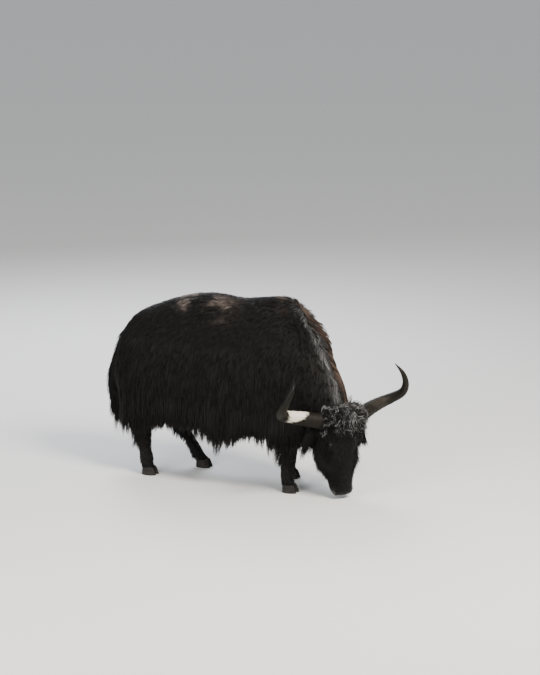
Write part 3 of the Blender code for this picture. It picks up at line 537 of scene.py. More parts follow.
def headRings():
    spacing = 1 + 1.6 * bump(np.linspace(0, 1, 400), 0.95, 0.10)
    spacing += 0.9 * bump(np.linspace(0, 1, 400), 0.39, 0.08)
    share = np.cumsum(spacing)
    share = (share - share[0]) / (share[-1] - share[0])
    even = np.interp(np.linspace(0, 1, head["rings"]), share, np.linspace(0, 1, 400))
    bend = 0.35 * (0.5 - 0.5 * np.cos(math.pi * even)) + 0.65 * even
    first = head["stations"][0][0]
    x = first + (head["length"] - first) * bend
    halfWidth, middle, rise, drop, square, pinch = headSections(x)
    centres = np.stack((x, 0 * x, middle), -1)
    across = np.tile((0.0, 1.0, 0.0), (len(x), 1))
    up = np.tile((0.0, 0.0, -1.0), (len(x), 1))
    rings = ovalRings(centres, across, up, halfWidth, drop, rise, head["sides"], square, pinch)
    points = withForms(rings.reshape(-1, 3))
    # lips: a soft roll above and below the line of the mouth
    line, share = mouthLine()
    tree = treeOf(line)
    for i in np.nonzero(points[:, 0] > 0.38)[0]:
        place, _, away = tree.find(points[i])
        if away < 0.03:
            above = points[i][2] - place[2]
            roll = bump(abs(above), mouth["lipReach"], 0.004) * math.exp(-((away / 0.016) ** 2))
            points[i] += unit(points[i] - (points[i][0] - 0.02, 0, mouth["height"])) * mouth["lip"] * roll
    return fromHead(points).reshape(rings.shape)


# Ears: share of the length, half width and depth of the cup as shares
ear = {
    "length": 0.17, "width": 0.085, "wall": 0.0055,
    "root": (0.053, 0.085, -0.121), "direction": (0.46, 0.88, -0.15), "opening": (0.60, -0.2, 0.75),
    "rows": 30, "columns": 22,
    "stations": ((0.0, 0.36, 0.55), (0.2, 0.72, 0.50), (0.45, 1.0, 0.36),
                 (0.7, 0.84, 0.24), (0.88, 0.52, 0.16), (1.0, 0.12, 0.05)),
}


def earSheet(side):
    mirror = np.array((1.0, side, 1.0))
    out = unit(np.array(ear["direction"]) * mirror)
    opening = np.array(ear["opening"]) * mirror
    opening = unit(opening - out * (opening @ out))
    edge = np.cross(out, opening)
    t = np.linspace(0, 1, ear["rows"])
    half, cup = smoothAlong(ear["stations"], t).T
    half = half * ear["width"] / 2
    angle = math.pi * (np.linspace(0, 1, ear["columns"]) - 0.5)
    depth = -2 * (half * cup)[:, None] * np.cos(angle)[None, :]
    root = np.array(ear["root"]) * mirror
    points = root + out * (ear["length"] * t)[:, None, None]
    points = points + edge * (half[:, None] * np.sin(angle)[None, :])[..., None]
    return fromHead(points + opening * depth[..., None])


def makeEar(side):
    points = earSheet(side) + ground
    rows, columns, _ = points.shape
    faces = []
    for r in range(rows - 1):
        for c in range(columns - 1):
            i = r * columns + c
            faces.append((i, i + 1, i + columns + 1, i + columns))
    piece = addPiece("earSkin", [tuple(p) for p in points.reshape(-1, 3)], faces)
    applyModifier(piece, "SOLIDIFY", thickness=ear["wall"], offset=0.0)
    return piece


# Horns: share of the length, up, out to the side, forward, radius as a share of the base's
horn = {
    "radius": 0.054,
    "stations": (
        (0.0, -0.005, 0.085, -0.035, 1.0), (0.12, -0.002, 0.17, -0.065, 0.98),
        (0.27, 0.02, 0.275, -0.105, 0.88), (0.41, 0.043, 0.375, -0.12, 0.76),
        (0.50, 0.065, 0.435, -0.10, 0.67), (0.645, 0.115, 0.475, -0.02, 0.53),
        (0.77, 0.185, 0.468, 0.03, 0.41), (0.885, 0.26, 0.435, 0.045, 0.27),
        (1.0, 0.322, 0.40, 0.01, 0.05),
    ),
    "rings": 240,
    "growthRings": 16,
    "ringDepth": 0.0012,
    "bossEnd": 0.075,  # share of the length up to which hairy skin grows over the horn
    "bossDepth": 0.009,
}


def hornPath(side, t):
    up, outward, forward, radius = smoothAlong(horn["stations"], t).T
    return fromHead(np.stack((-up, side * outward, forward), -1)), radius * horn["radius"]


def hornRings(side, end, count, sides, swell=0.0):
    # the horn's base as rings, swollen at the head and down to the horn itself at the end
    t = np.linspace(0.0, end, count)
    path, radius = hornPath(side, t)
    radius = radius + swell * (1 - 0.85 * (t / end) ** 2)
    forward = unit(np.gradient(path, axis=0))
    up = unit(np.array((0.0, 0.0, 1.0)) - forward * forward[:, 2:])
    return ovalRings(path, np.cross(forward, up), up, radius, radius, radius, sides)


def makeBoss(side):
    rings = hornRings(side, horn["bossEnd"], 10, 40, horn["bossDepth"])
    return skinOver("bossSkin", rings + ground)


def makeLids(side):
    centre, out, corner, upper = eyeAxes(side)
    angle = 2 * math.pi * np.arange(56) / 56
    u = eye["halfLength"] * np.cos(angle)
    v = eye["halfOpening"] * np.sin(angle) * (1 - 0.25 * np.abs(np.cos(angle)))
    reach = np.sqrt((eye["radius"] + 0.0010) ** 2 - v * v - (0.7 * u) ** 2)
    path = centre + corner * u[:, None] + upper * v[:, None] + out * reach[:, None]
    forward = unit(np.roll(path, -1, 0) - np.roll(path, 1, 0))
    away = unit(path - centre)
    across = np.cross(forward, away)
    radius = np.where(np.sin(angle) > 0, eye["lidAbove"], eye["lidBelow"])
    radius = (radius + np.roll(radius, 1) + np.roll(radius, -1) + np.roll(radius, 2)) / 4
    rings = ovalRings(path, across, away, radius, radius * 0.8, radius * 0.8, 14)
    points = fromHead(rings.reshape(-1, 3)) + ground
    faces = ringFaces(len(rings), 14)
    last = (len(rings) - 1) * 14
    for k in range(14):
        n = (k + 1) % 14
        faces.append((last + k, last + n, n, k))
    piece = addPiece("lids", [tuple(p) for p in points], faces)
    turnOutwards(piece)
    return piece


def makeMouthSlit():
    line, t = mouthLine()
    out = unit(np.stack((0.15 + 1.2 * t * t, line[:, 1] / 0.06, 0 * t), -1))
    gape = mouth["gape"] * (0.45 + 0.55 * t)
    up = np.array((0.0, 0.0, 1.0))
    inner = line - out * mouth["depth"]
    upper = line + out * 0.03 + up * (gape * 2)[:, None]
    lower = line + out * 0.03 - up * (gape * 2)[:, None]
    rings = np.stack((inner, upper, lower), 1)
    return skinOver("mouthSlit", fromHead(rings) + ground)


def makeNostril(side):
    mirror = np.array((1.0, side, 1.0))
    place = np.array(nostril["place"]) * mirror
    out = unit(np.array((0.55, 0.70 * side, 0.35)))
    slant = np.array(nostril["slant"]) * mirror
    slant = unit(slant - out * (slant @ out))
    across = np.cross(out, slant) * side
    s = np.linspace(0, 1, 16)
    path = place + slant * (nostril["tailLength"] * 1.7 * (s - 0.38))[:, None]
    path = path + across * (0.010 * s * s)[:, None] + out * (0.002 * (1 - s) + 0.004)[:, None]
    radius = nostril["radius"] * (1 - 0.85 * s**1.5) * np.minimum(1, 0.35 + 4 * s)
    rings = ovalRings(path, np.tile(across, (16, 1)), np.tile(out, (16, 1)), radius,
                      radius * 1.2, radius * 1.9, 18)
    return skinOver("nostrilHollow", fromHead(rings) + ground)


def combine(piece, others, operation):
    # one body from several closed ones; the others are used up
    group = bpy.data.collections.new("joining")
    bpy.context.scene.collection.children.link(group)
    for other in others:
        for home in list(other.users_collection):
            home.objects.unlink(other)
        group.objects.link(other)
    applyModifier(piece, "BOOLEAN", operation=operation, operand_type="COLLECTION",
                  collection=group, solver="MANIFOLD")
    for other in others:
        bpy.data.objects.remove(other, do_unlink=True)
    bpy.data.collections.remove(group)


skinFacts = {"voxel": 0.0105, "smoothing": 7}


def makeSkin():
    parts = [skinOver("trunkSkin", trunkRings() + ground), skinOver("neckSkin", neckRings() + ground)]
    for name, (kind, hock, foot, side) in legs["feet"].items():
        parts.append(skinOver("legSkin", legRings(kind, hock, foot, side) + ground))
    parts.append(skinOver("tailSkin", tailRings() + ground))
    skin = parts[0]
    selectOnly(*parts)
    bpy.ops.object.join()
    applyModifier(skin, "REMESH", mode="VOXEL", voxel_size=skinFacts["voxel"])
    applyModifier(skin, "SMOOTH", factor=0.5, iterations=skinFacts["smoothing"])
    print("body skin", len(skin.data.polygons))
    face = skinOver("headSkin", headRings() + ground)
    combine(face, [makeMouthSlit(), makeNostril(1), makeNostril(-1)], "DIFFERENCE")
    combine(face, [make(side) for make in (makeEar, makeLids, makeBoss) for side in (1, -1)], "UNION")
    combine(face, [skin], "UNION")
    face.name = face.data.name = "skin"
    selectOnly(face)
    bpy.ops.object.mode_set(mode="EDIT")
    bpy.ops.mesh.select_all(action="SELECT")
    bpy.ops.mesh.remove_doubles(threshold=0.00005)
    bpy.ops.mesh.quads_convert_to_tris()
    bpy.ops.mesh.select_all(action="SELECT")
    bpy.ops.uv.smart_project(angle_limit=math.radians(66), island_margin=0.002)
    bpy.ops.object.mode_set(mode="OBJECT")
    face.data.uv_layers[0].name = "OFBake"
    face.data.shade_smooth()
    return face


skin = makeSkin()
print("skin", len(skin.data.polygons), "faces")


# Hair: where its roots are, how it is combed over the skin, and how tufts are built.
# Skin and tufts are computed as rings, because no primitive or operator comes near a combed coat.
hair = {"rootDepth": 0.005, "overhang": 0.35, "patch": 0.003, "snap": 0.016}
down = np.array((0.0, 0.0, -1.0))


def skinArrays(piece):
    mesh = piece.data
    places = np.empty(len(mesh.vertices) * 3, np.float32)
    mesh.vertices.foreach_get("co", places)
    corners = np.empty(len(mesh.loops), np.int32)
    mesh.loops.foreach_get("vertex_index", corners)
    flat = np.empty(len(mesh.loops) * 2, np.float32)
    mesh.uv_layers["OFBake"].data.foreach_get("uv", flat)
    return places.reshape(-1, 3).astype(float), corners.reshape(-1, 3), flat.reshape(-1, 3, 2).mean(1)


skinPlaces, skinCorners, skinSpots = skinArrays(skin)
skinTree = BVHTree.FromPolygons(skinPlaces.tolist(), skinCorners.tolist())


def nearestOnSkin(points, tree=skinTree):
    near, normals = np.empty_like(points), np.empty_like(points)
    faces, away = np.empty(len(points), int), np.empty(len(points))
    for i, point in enumerate(points.tolist()):
        near[i], normals[i], faces[i], away[i] = tree.find_nearest(point)
    return near, normals, faces, away


def scatter(rings, count, draw, density):
    # count places over the rings' surface, as dense as density(places) says
    rings = np.concatenate((rings, rings[:, :1]), 1)
    a, b, c, d = rings[:-1, :-1], rings[:-1, 1:], rings[1:, :-1], rings[1:, 1:]
    middle = (a + b + c + d) / 4
    area = np.linalg.norm(np.cross(b - a, c - a), axis=-1)
    weight = (area * density(middle.reshape(-1, 3)).reshape(area.shape)).ravel()
    chosen = draw.choice(len(weight), count, p=weight / weight.sum())
    u, v = draw.random((2, count, 1))
    a, b, c, d = (corner.reshape(-1, 3)[chosen] for corner in (a, b, c, d))
    return (a * (1 - u) + b * u) * (1 - v) + (c * (1 - u) + d * u) * v


def comb(roots, normals, length, pull, lift, steps, rise, fall, tree):
    # from inside the skin out along it, and free where the skin turns away under the hair
    place, facing = roots.copy(), normals.copy()
    points, facings = [roots - normals * hair["rootDepth"]], [normals]
    hangs = np.zeros(len(roots), bool)
    step = (length / steps)[:, None]
    for k in range(1, steps + 1):
        hangs |= (facing @ down) > hair["overhang"]
        tangent = unit(pull - facing * dot(pull, facing))
        ahead = place + tangent * step
        free = place + unit(pull * fall + down) * step
        near, normal = ahead.copy(), facing.copy()
        lying = np.nonzero(~hangs)[0]
        near[lying], normal[lying], _, _ = nearestOnSkin(ahead[lying], tree)
        raised = near + normal * (lift * (k / steps) ** rise)[:, None]
        place = np.where(hangs[:, None], free, raised)
        facing = np.where(hangs[:, None], facing, normal)
        points.append(place)
        facings.append(facing)
    return np.stack(points, 1), np.stack(facings, 1)


def gather(points, draw, size, strength, power=1.3):
    # tufts drawn together into pointed locks of about size tufts; gives each its lock
    roots = points[:, 0]
    middles = draw.choice(len(roots), max(1, len(roots) // size), replace=False)
    tree = treeOf(roots[middles], middles)
    lock = np.array([tree.find(r)[1] for r in roots.tolist()])
    steps = points.shape[1] - 1
    weight = (strength * (np.arange(steps + 1) / steps) ** power)[None, :, None]
    return points + weight * (points[lock] - points), lock


def wave(points, facings, lock, draw, size, turns, curl=0.0):
    # sideways waves, and with curl ringlets, alike within a lock
    steps = points.shape[1] - 1
    share = np.arange(steps + 1) / steps
    phase = draw.uniform(0, 2 * math.pi, len(points))[lock] + draw.normal(0, 0.35, len(points))
    pace = draw.uniform(0.8, 1.2, len(points))[lock]
    angle = 2 * math.pi * turns * share[None, :] * pace[:, None] + phase[:, None]
    forward = unit(np.gradient(points, axis=1))
    side = unit(np.cross(facings, forward))
    reach = (size * share**0.7)[None, :] * draw.uniform(0.6, 1.3, len(points))[:, None]
    shift = side * (reach * np.sin(angle))[..., None]
    if curl:
        shift = shift + facings * (curl * reach * (1 + np.cos(angle)))[..., None]
    return points + shift


def tufts(name, points, facings, width, thickness, spots, marks):
    # flat tapered tufts: a low ridge between two thin edges, closed at the root and the tip
    count, rings, _ = points.shape
    steps = rings - 1
    forward = unit(np.gradient(points, axis=1))[:, :steps]
    side = unit(np.cross(facings[:, :steps], forward))
    out = np.cross(forward, side)
    share = np.arange(steps) / steps
    broad = (0.55 + 0.45 * smoothStep(0, 0.3, share)) * (1 - share**1.7)
    half = side * (width[:, None] / 2 * broad)[..., None]
    ridge = out * (thickness[:, None] * (0.4 + 0.6 * broad))[..., None]
    body = points[:, :steps]
    corners = np.stack((body + half, body + ridge, body - half), 2).reshape(count, steps * 3, 3)
    places = np.concatenate((corners, points[:, steps:]), 1)
    each = steps * 3 + 1
    quads = []
    for s in range(steps - 1):
        for i in range(3):
            j = (i + 1) % 3
            quads.append((s * 3 + i, s * 3 + j, s * 3 + 3 + j, s * 3 + 3 + i))
    tris = [(2, 1, 0)]
    for i in range(3):
        tris.append(((steps - 1) * 3 + i, (steps - 1) * 3 + (i + 1) % 3, steps * 3))
    start = np.arange(count)[:, None] * each
    loopOne = np.concatenate((np.array(quads, int).ravel(), np.array(tris, int).ravel()))
    loops = (start + loopOne[None, :]).ravel()
    sizes = np.tile([4] * len(quads) + [3] * len(tris), count)
    mesh = bpy.data.meshes.new(name)
    mesh.vertices.add(count * each)
    mesh.vertices.foreach_set("co", places.astype(np.float32).ravel())
    mesh.loops.add(len(loops))
    mesh.loops.foreach_set("vertex_index", loops.astype(np.int32))
    mesh.polygons.add(len(sizes))
    mesh.polygons.foreach_set("loop_start", np.concatenate(([0], np.cumsum(sizes)[:-1])).astype(np.int32))
    mesh.polygons.foreach_set("loop_total", sizes.astype(np.int32))
    mesh.update(calc_edges=True)
    along = np.concatenate((np.repeat(share, 3), [1.0]))
    across = np.concatenate((np.tile((0.0, 0.5, 1.0), steps), [0.5]))
    patch = np.stack((across - 0.5, along - 0.5), -1) * hair["patch"]
    spread = (spots[:, None, :] + patch[None]).reshape(-1, 2)[loops]
    layer = mesh.uv_layers.new(name="OFBake")
    layer.data.foreach_set("uv", np.clip(spread, 0, 1).astype(np.float32).ravel())
    colours = np.empty((count, each, 4), np.float32)
    colours[..., 0] = along
    colours[..., 1:3] = marks[:, None, :]
    colours[..., 3] = across
    addMarks(mesh, "hairMarks", colours)
    mesh.shade_smooth()
    piece = bpy.data.objects.new(name, mesh)
    bpy.context.scene.collection.objects.link(piece)
    triangles = count * (6 * (steps - 1) + 4)
    print(name, count, "tufts,", triangles, "triangles")
    return piece


def patchy(points, scale, seed=0.0):
    # slow irregular patches from -1 to 1
    shift = Vector((seed, 3.1 * seed, -seed))
    return np.array([noise.noise(Vector(p) * scale + shift) for p in points.tolist()])


def crestMiddle(z):
    # how far to the left the neck's crest runs at a height
    centres, side, crest, halfWidth, rise, drop = neckFrames(np.linspace(0, 1, neck["rings"]))
    line = (centres + crest * rise[:, None])[::-1]
    return np.interp(z, line[:, 2], line[:, 1])


def paintedSunAndGrey(points, normals):
    # brown above one half, painted sunlight, and grey below it, painted glints with the muzzle's own grey
    # hair, from places measured from the ground point
    x, y, z = points.T
    cloud = patchy(points, 9.0) + 0.5 * patchy(points, 23.0, 5.0)
    # painted sunlight: brown on the tops of the rump, loin and withers, where the coat faces up
    top = smoothStep(0.35, 0.7, normals[:, 2])
    rump = bump(x, -0.72, 0.07) * smoothStep(1.17, 1.25, z) * 1.3
    loin = bump(x, -0.45, 0.12) * smoothStep(1.10, 1.24, z) * 0.65
    withers = bump(x, -0.02, 0.10) * smoothStep(1.20, 1.28, z) * 0.6
    h = toHead(points)
    inHead = smoothStep(-0.12, -0.05, h[:, 0]) * (np.abs(h[:, 1]) < 0.2) * (h[:, 2] > -0.36)
    # painted backlight: brown along the neck's crest, where it faces up and forward
    fore = smoothStep(0.02, 0.09, x) * smoothStep(0.50, 0.62, z) * smoothStep(0.2, 0.5, normals[:, 0])
    upward = normals @ unit(np.array((0.8, 0.0, 0.6)))
    fore = fore * (1 - inHead * smoothStep(-0.11, -0.04, h[:, 0])) * smoothStep(0.40, 0.62, upward)
    # the crest's painted backlit brown is 8 cm wide, and the painted grey glint band lies 5 to 10 cm from
    # the middle, less over the withers
    aside = np.abs(y - crestMiddle(z)) + 0.011 * patchy(points, 16.0, 9.0)
    aside = aside / (1 - 0.35 * smoothStep(1.0, 1.2, z))
    ridge = fore * (1 - smoothStep(0.018, 0.062, aside)) * 0.78
    back = np.maximum(np.maximum(rump, loin), withers) * top * smoothStep(-0.3, 0.3, cloud)
    sunlitBrown = np.maximum(back, ridge * (0.55 + 0.45 * smoothStep(-0.8, 0.2, cloud)))
    # painted glints: grey locks in a band down each side of the crest
    glintBand = fore * bump(aside, 0.074, 0.022) * (0.22 + 0.16 * smoothStep(-0.6, 0.3, cloud))
    glintBand = glintBand * (1 - smoothStep(1.22, 1.28, z))
    lips = bump(h[:, 0], 0.505, 0.022) * smoothStep(-0.03, -0.06, h[:, 2]) * inHead * 0.35
    # painted highlight: grey on the short hairs along the left side of the nose only
    noseSideGlint = bump(h[:, 1], 0.068, 0.020) * bump(h[:, 2], -0.035, 0.04) * inHead
    noseSideGlint = noseSideGlint * smoothStep(0.34, 0.46, h[:, 0]) * 0.6
    greyAndGlint = np.maximum(np.maximum(lips, noseSideGlint), glintBand)
    return np.clip(0.5 + 0.5 * (sunlitBrown - greyAndGlint), 0, 1)


def growHair(name, rings, count, seed, density, growth, facts, tree=None):
    # growth(places) gives length, pull and share of the lift; facts give the tufts' size and lie
    draw = np.random.default_rng(seed)
    found = scatter(rings, count, draw, density) + ground
    roots, normals, faces, away = nearestOnSkin(found)
    keep = away < hair["snap"]
    roots, normals, faces = roots[keep], normals[keep], faces[keep]
    places = roots - ground
    length, pull, raised = growth(places, normals, draw)
    length = length * draw.uniform(0.8, 1.15, len(roots))
    pull = unit(pull + draw.normal(0, facts.get("stray", 0.08), pull.shape))
    lift = facts["lift"] * raised * draw.uniform(0.25, 1.0, len(roots))
    points, facings = comb(roots, normals, length, pull, lift, facts["steps"],
                           facts.get("rise", 0.8), facts.get("fall", 0.6), tree or skinTree)
    points, lock = gather(points, draw, facts["lock"], facts["draw"])
    if facts.get("wave"):
        points = wave(points, facings, lock, draw, facts["wave"], facts["turns"], facts.get("curl", 0.0))
    points[:, 1:-1] = (points[:, :-2] + 2 * points[:, 1:-1] + points[:, 2:]) / 4
    points[..., 2] = np.maximum(points[..., 2], 0.004)
    width = facts["width"] * draw.uniform(0.6, 1.25, len(roots))
    thickness = facts["thickness"] * draw.uniform(0.7, 1.2, len(roots))
    tone = 0.5 * draw.random(len(roots)) + 0.5 * draw.random(len(roots))[lock]
    # the painted sunlight and grey are stronger in one tuft than in the next, and some tufts of wool get
    # painted grey glints
    uneven = 0.5 * draw.random(len(roots)) + 0.5 * draw.random(len(roots))[lock]
    tint = 0.5 + (paintedSunAndGrey(places, normals) - 0.5) * (0.1 + 2.2 * uneven**1.6)
    lit = draw.random(len(roots)) < facts.get("lit", 0.0) * facts.get("litWhere", lambda p: 1.0)(places)
    glintGreyness = facts.get("litGrey", 0.0) * draw.uniform(0.25, 1.0, len(roots))
    tint = np.where(lit, np.minimum(tint, 0.5 - 0.5 * glintGreyness), tint)
    marks = np.stack((tone, np.clip(tint, 0, 1)), -1)
    return tufts(name, points, facings, width, thickness, skinSpots[faces], marks)


# The coat's regions. Lengths in metres; directions from the ground point's axes
trunkCoat = {
    "tips": ((-1.27, 0.34), (-1.18, 0.25), (-1.05, 0.245), (-0.93, 0.31), (-0.75, 0.36), (-0.60, 0.33),
             (-0.50, 0.275), (-0.40, 0.235), (-0.31, 0.28), (-0.20, 0.35), (-0.11, 0.31), (-0.03, 0.265),
             (0.10, 0.27), (0.30, 0.29)),
    "back": {"count": 8200, "lift": 0.016, "steps": 3, "lock": 8, "draw": 0.45,
             "width": 0.0064, "thickness": 0.0018, "stray": 0.15, "fall": 0.5},
    "flank": {"count": 6500, "lift": 0.024, "steps": 4, "lock": 12, "draw": 0.6,
              "width": 0.0080, "thickness": 0.0024, "wave": 0.005, "turns": 0.8, "stray": 0.06},
    "skirt": {"count": 3900, "lift": 0.036, "steps": 5, "lock": 13, "draw": 0.66,
              "width": 0.0086, "thickness": 0.0028, "wave": 0.009, "turns": 1.0, "stray": 0.08},
}
skirtTips = np.array(trunkCoat["tips"])


def trunkGrowth(places, normals, draw):
    x, y, z = places.T
    upward = np.clip(normals[:, 2], 0, 1)
    side = np.clip(y / 0.12, -1, 1)
    behind = np.clip(-normals[:, 0], 0, 1)
    pull = np.stack((-0.08 - 0.72 * upward - 0.25 * behind, side * (0.12 + 0.5 * upward),
                     -1.05 + 0.75 * upward), -1)
    length = 0.060 + 0.13 * smoothStep(1.16, 0.80, z)
    tip = np.interp(x, skirtTips[:, 0], skirtTips[:, 1]) + 0.022 * patchy(places, 13.0, 2.0)
    hang = (z - tip) * (0.90 + 0.10 * draw.random(len(z)))
    low = smoothStep(0.74, 0.60, z)
    raised = 1 + 1.9 * smoothStep(-1.0, -1.2, x) * smoothStep(1.08, 0.8, z)
    # fuller over the front of the withers, where the mane starts
    raised = raised + 1.6 * bump(x, 0.12, 0.08) * smoothStep(1.06, 1.18, z)
    return length * (1 - low) + np.clip(hang, 0.05, 0.44) * low, pull, raised


def within(low, high, soft=0.02):
    return lambda p: smoothStep(low - soft, low, p[:, 2]) * (1 - smoothStep(high, high + soft, p[:, 2]))


trunkSurface = trunkRings()
coat = []
for side, name in ((1, "left"), (-1, "right")):
    half = lambda p, side=side: (p[:, 1] * side > -0.001).astype(float)
    notUnder = lambda p: 1 - 0.7 * smoothStep(0.06, 0.2, p[:, 0]) * (p[:, 2] > 0.6)
    for zone, low, high in (("back", 0.98, 2.0), ("flank", 0.60, 1.0), ("skirt", 0.38, 0.66)):
        facts = trunkCoat[zone]
        zoneShare = within(low, high)
        coat.append(growHair(
            "coat_" + zone + "_" + name, trunkSurface, facts["count"], len(coat) + 11,
            lambda p, h=half, s=zoneShare: h(p) * s(p) * notUnder(p) + 1e-9, trunkGrowth, facts))


neckCoat = {"count": 7400, "lift": 0.036, "steps": 6, "lock": 12, "draw": 0.66,
            "width": 0.0074, "thickness": 0.0026, "wave": 0.012, "turns": 1.25, "stray": 0.10}


def neckGrowth(places, normals, draw):
    x, y, z = places.T
    crest = np.clip(normals[:, 0] * 0.8 + normals[:, 2] * 0.6, 0, 1)
    pull = np.stack((-0.12 + 0.34 * crest, np.sign(y + 0.05) * 0.30 * crest, -1 + 0.10 * crest), -1)
    length = 0.10 + 0.13 * smoothStep(0.95, 0.55, z) * (1 - 0.5 * crest)
    tip = 0.29 + 0.02 * patchy(places, 11.0, 4.0)
    # the mane stands up over the shoulders and lies flat half way down the crest
    proud = smoothStep(0.95, 1.12, z) * smoothStep(0.0, 0.12, x)
    return np.clip(np.minimum(length, z - tip), 0.05, 0.30), pull, 1 - (0.66 - 1.05 * proud) * crest


coat.append(growHair("coat_neck", neckRings(), neckCoat["count"], 31,
                     lambda p: 0.3 + smoothStep(1.25, 1.05, p[:, 2]), neckGrowth, neckCoat))


# Short hair of the face, longer on the cheeks and under the jaw
faceCoat = {"count": 17000, "lift": 0.0045, "steps": 2, "lock": 4, "draw": 0.3,
            "width": 0.0052, "thickness": 0.0011, "stray": 0.12}
jawCoat = {"count": 3600, "lift": 0.046, "steps": 4, "lock": 9, "draw": 0.38, "width": 0.0060,
           "thickness": 0.0020, "stray": 0.09, "wave": 0.004, "turns": 0.7, "rise": 0.6}
# Curly wool of the poll, between the horns and round their bases, some tufts with painted grey glints
frontCoat = {
    "count": 2150, "lift": 0.040, "steps": 12, "lock": 10, "draw": 0.80, "width": 0.0043,
    "thickness": 0.0022, "stray": 0.50, "wave": 0.0140, "turns": 1.75, "curl": 0.8, "rise": 0.5,
    "lit": 0.23, "litGrey": 1.0,
    "litWhere": lambda places: 1 - smoothStep(-0.01, 0.045, toHead(places)[:, 0]),
}
woolCoat = dict(frontCoat, count=620, lift=0.024, stray=0.60, wave=0.0125)
# painted glints, most at the outer edge of the collar, and far more on the left horn's collar than the
# right one's
woolCoat["litWhere"] = lambda places: 0.4 + 0.6 * smoothStep(0.09, 0.14, np.abs(toHead(places)[:, 1]))
woolLit = {"left": 0.80, "right": 0.10}


def headPull(h, outward):
    sideways = outward * np.clip(h[:, 1] / 0.05, -1, 1)
    return np.stack((1 + 0 * sideways, sideways, -0.12 + 0 * sideways), -1) @ headTurn.T


def aroundEye(h):
    # one at the rim of the lids, more further off; drawn out above, where hair would fall over them
    found = np.full(len(h), 9.0)
    for side in (1, -1):
        centre, out, corner, upper = eyeAxes(side)
        u, v = (h - centre) @ corner, (h - centre) @ upper
        near = np.sqrt(((u + 0.006) / 0.038) ** 2 + (v / 0.0225) ** 2)
        found = np.where((h - centre) @ out > -0.02, np.minimum(found, near), found)
    return found


def faceGrowth(places, normals, draw):
    h = toHead(places)
    length = 0.016 + 0.018 * smoothStep(0.40, 0.15, h[:, 0]) + 0.014 * smoothStep(-0.10, -0.20, h[:, 2])
    length = length * (1 - 0.5 * smoothStep(0.46, 0.52, h[:, 0]))
    length = length * (0.4 + 0.6 * smoothStep(1.1, 2.4, aroundEye(h)))
    cheek = smoothStep(0.42, 0.26, h[:, 0]) * smoothStep(0.25, 0.75, np.abs(normals @ headTurn[:, 1]))
    cheek = cheek * smoothStep(1.1, 2.4, aroundEye(h))
    lower = bump(h[:, 0], 0.20, 0.05) * cheek
    lip = bump(h[:, 0], 0.40, 0.06) * smoothStep(0.3, 0.7, np.abs(normals @ headTurn[:, 1]))
    length = length * (1 + 1.6 * cheek + 0.8 * lower + 0.7 * lip)
    return length, headPull(h, 0.35), 1 + 8.0 * cheek + 5.0 * lower + 3.0 * lip


def faceShare(points):
    h = toHead(points)
    bare = bump(h[:, 0], 0.525, 0.03) * bump(h[:, 2], -0.045, 0.045) * (np.abs(h[:, 1]) < 0.05)
    eyes = smoothStep(0.9, 1.1, aroundEye(h))
    for side in (1, -1):
        hole = np.linalg.norm(h - np.array(nostril["place"]) * (1, side, 1), axis=1)
        eyes *= smoothStep(0.016, 0.028, hole)
    line, _ = mouthLine()
    tree = treeOf(line)
    lips = np.array([tree.find(p)[2] for p in h.tolist()])
    eyes *= smoothStep(0.006, 0.012, lips)
    under = 1 - 0.55 * smoothStep(-0.10, -0.16, h[:, 2]) * smoothStep(0.46, 0.40, h[:, 0])
    poll = 0.25 + 0.75 * smoothStep(-0.02, 0.12, h[:, 0])
    return (1 - smoothStep(0.2, 0.5, bare)) * eyes * under * poll + 1e-9


def jawGrowth(places, normals, draw):
    h = toHead(places)
    fore = smoothStep(0.46, 0.35, h[:, 0]) * (1 + 0.75 * bump(h[:, 0], 0.26, 0.08))
    length = 0.026 + 0.079 * smoothStep(0.45, 0.25, h[:, 0])
    under = smoothStep(-0.05, -0.17, h[:, 2])
    return length, headPull(h,
                            0.1) + np.array((-0.06, 0.0,
                                             -0.05)), (0.1 + 0.9 * fore) * (0.3 + 0.7 * under)


def jawShare(points):
    h = toHead(points)
    return smoothStep(-0.05, -0.14, h[:, 2]) * (1 - smoothStep(0.43, 0.49, h[:, 0])) + 1e-9


def frontGrowth(places, normals, draw):
    h = toHead(places)
    aside = np.clip(h[:, 1] / 0.08, -1, 1)
    length = 0.045 + 0.045 * bump(h[:, 0], -0.01, 0.045) + 0.035 * draw.random(len(h))
    length = length + 0.035 * bump(h[:, 1], 0.0, 0.035)
    ahead = np.stack((0.85 - 0.5 * np.abs(aside), 1.1 * aside, 0.1 + 0 * aside), -1) @ headTurn.T
    return length, ahead, 1.25 - 0.35 * np.abs(aside)


def frontShare(points):
    h = toHead(points)
    return smoothStep(-0.12, -0.08, h[:, 2]) * (1 - smoothStep(0.035, 0.07, h[:, 0])) + 1e-9


def woolGrowth(side):
    # round a horn's base and out along it, longest over the top of the left one
    outward = np.array((0.05, side, -0.25)) @ headTurn.T

    def growth(places, normals, draw):
        above = np.clip(normals[:, 2], 0, 1)
        length = 0.035 + 0.06 * draw.random(len(places))**2 + (0.06 if side > 0 else 0.012) * above
        pull = outward + np.array((0.0, 0.0, -0.25)) * (1 - above)[:, None]
        return length, pull, 0.8 + 0.5 * above
    return growth


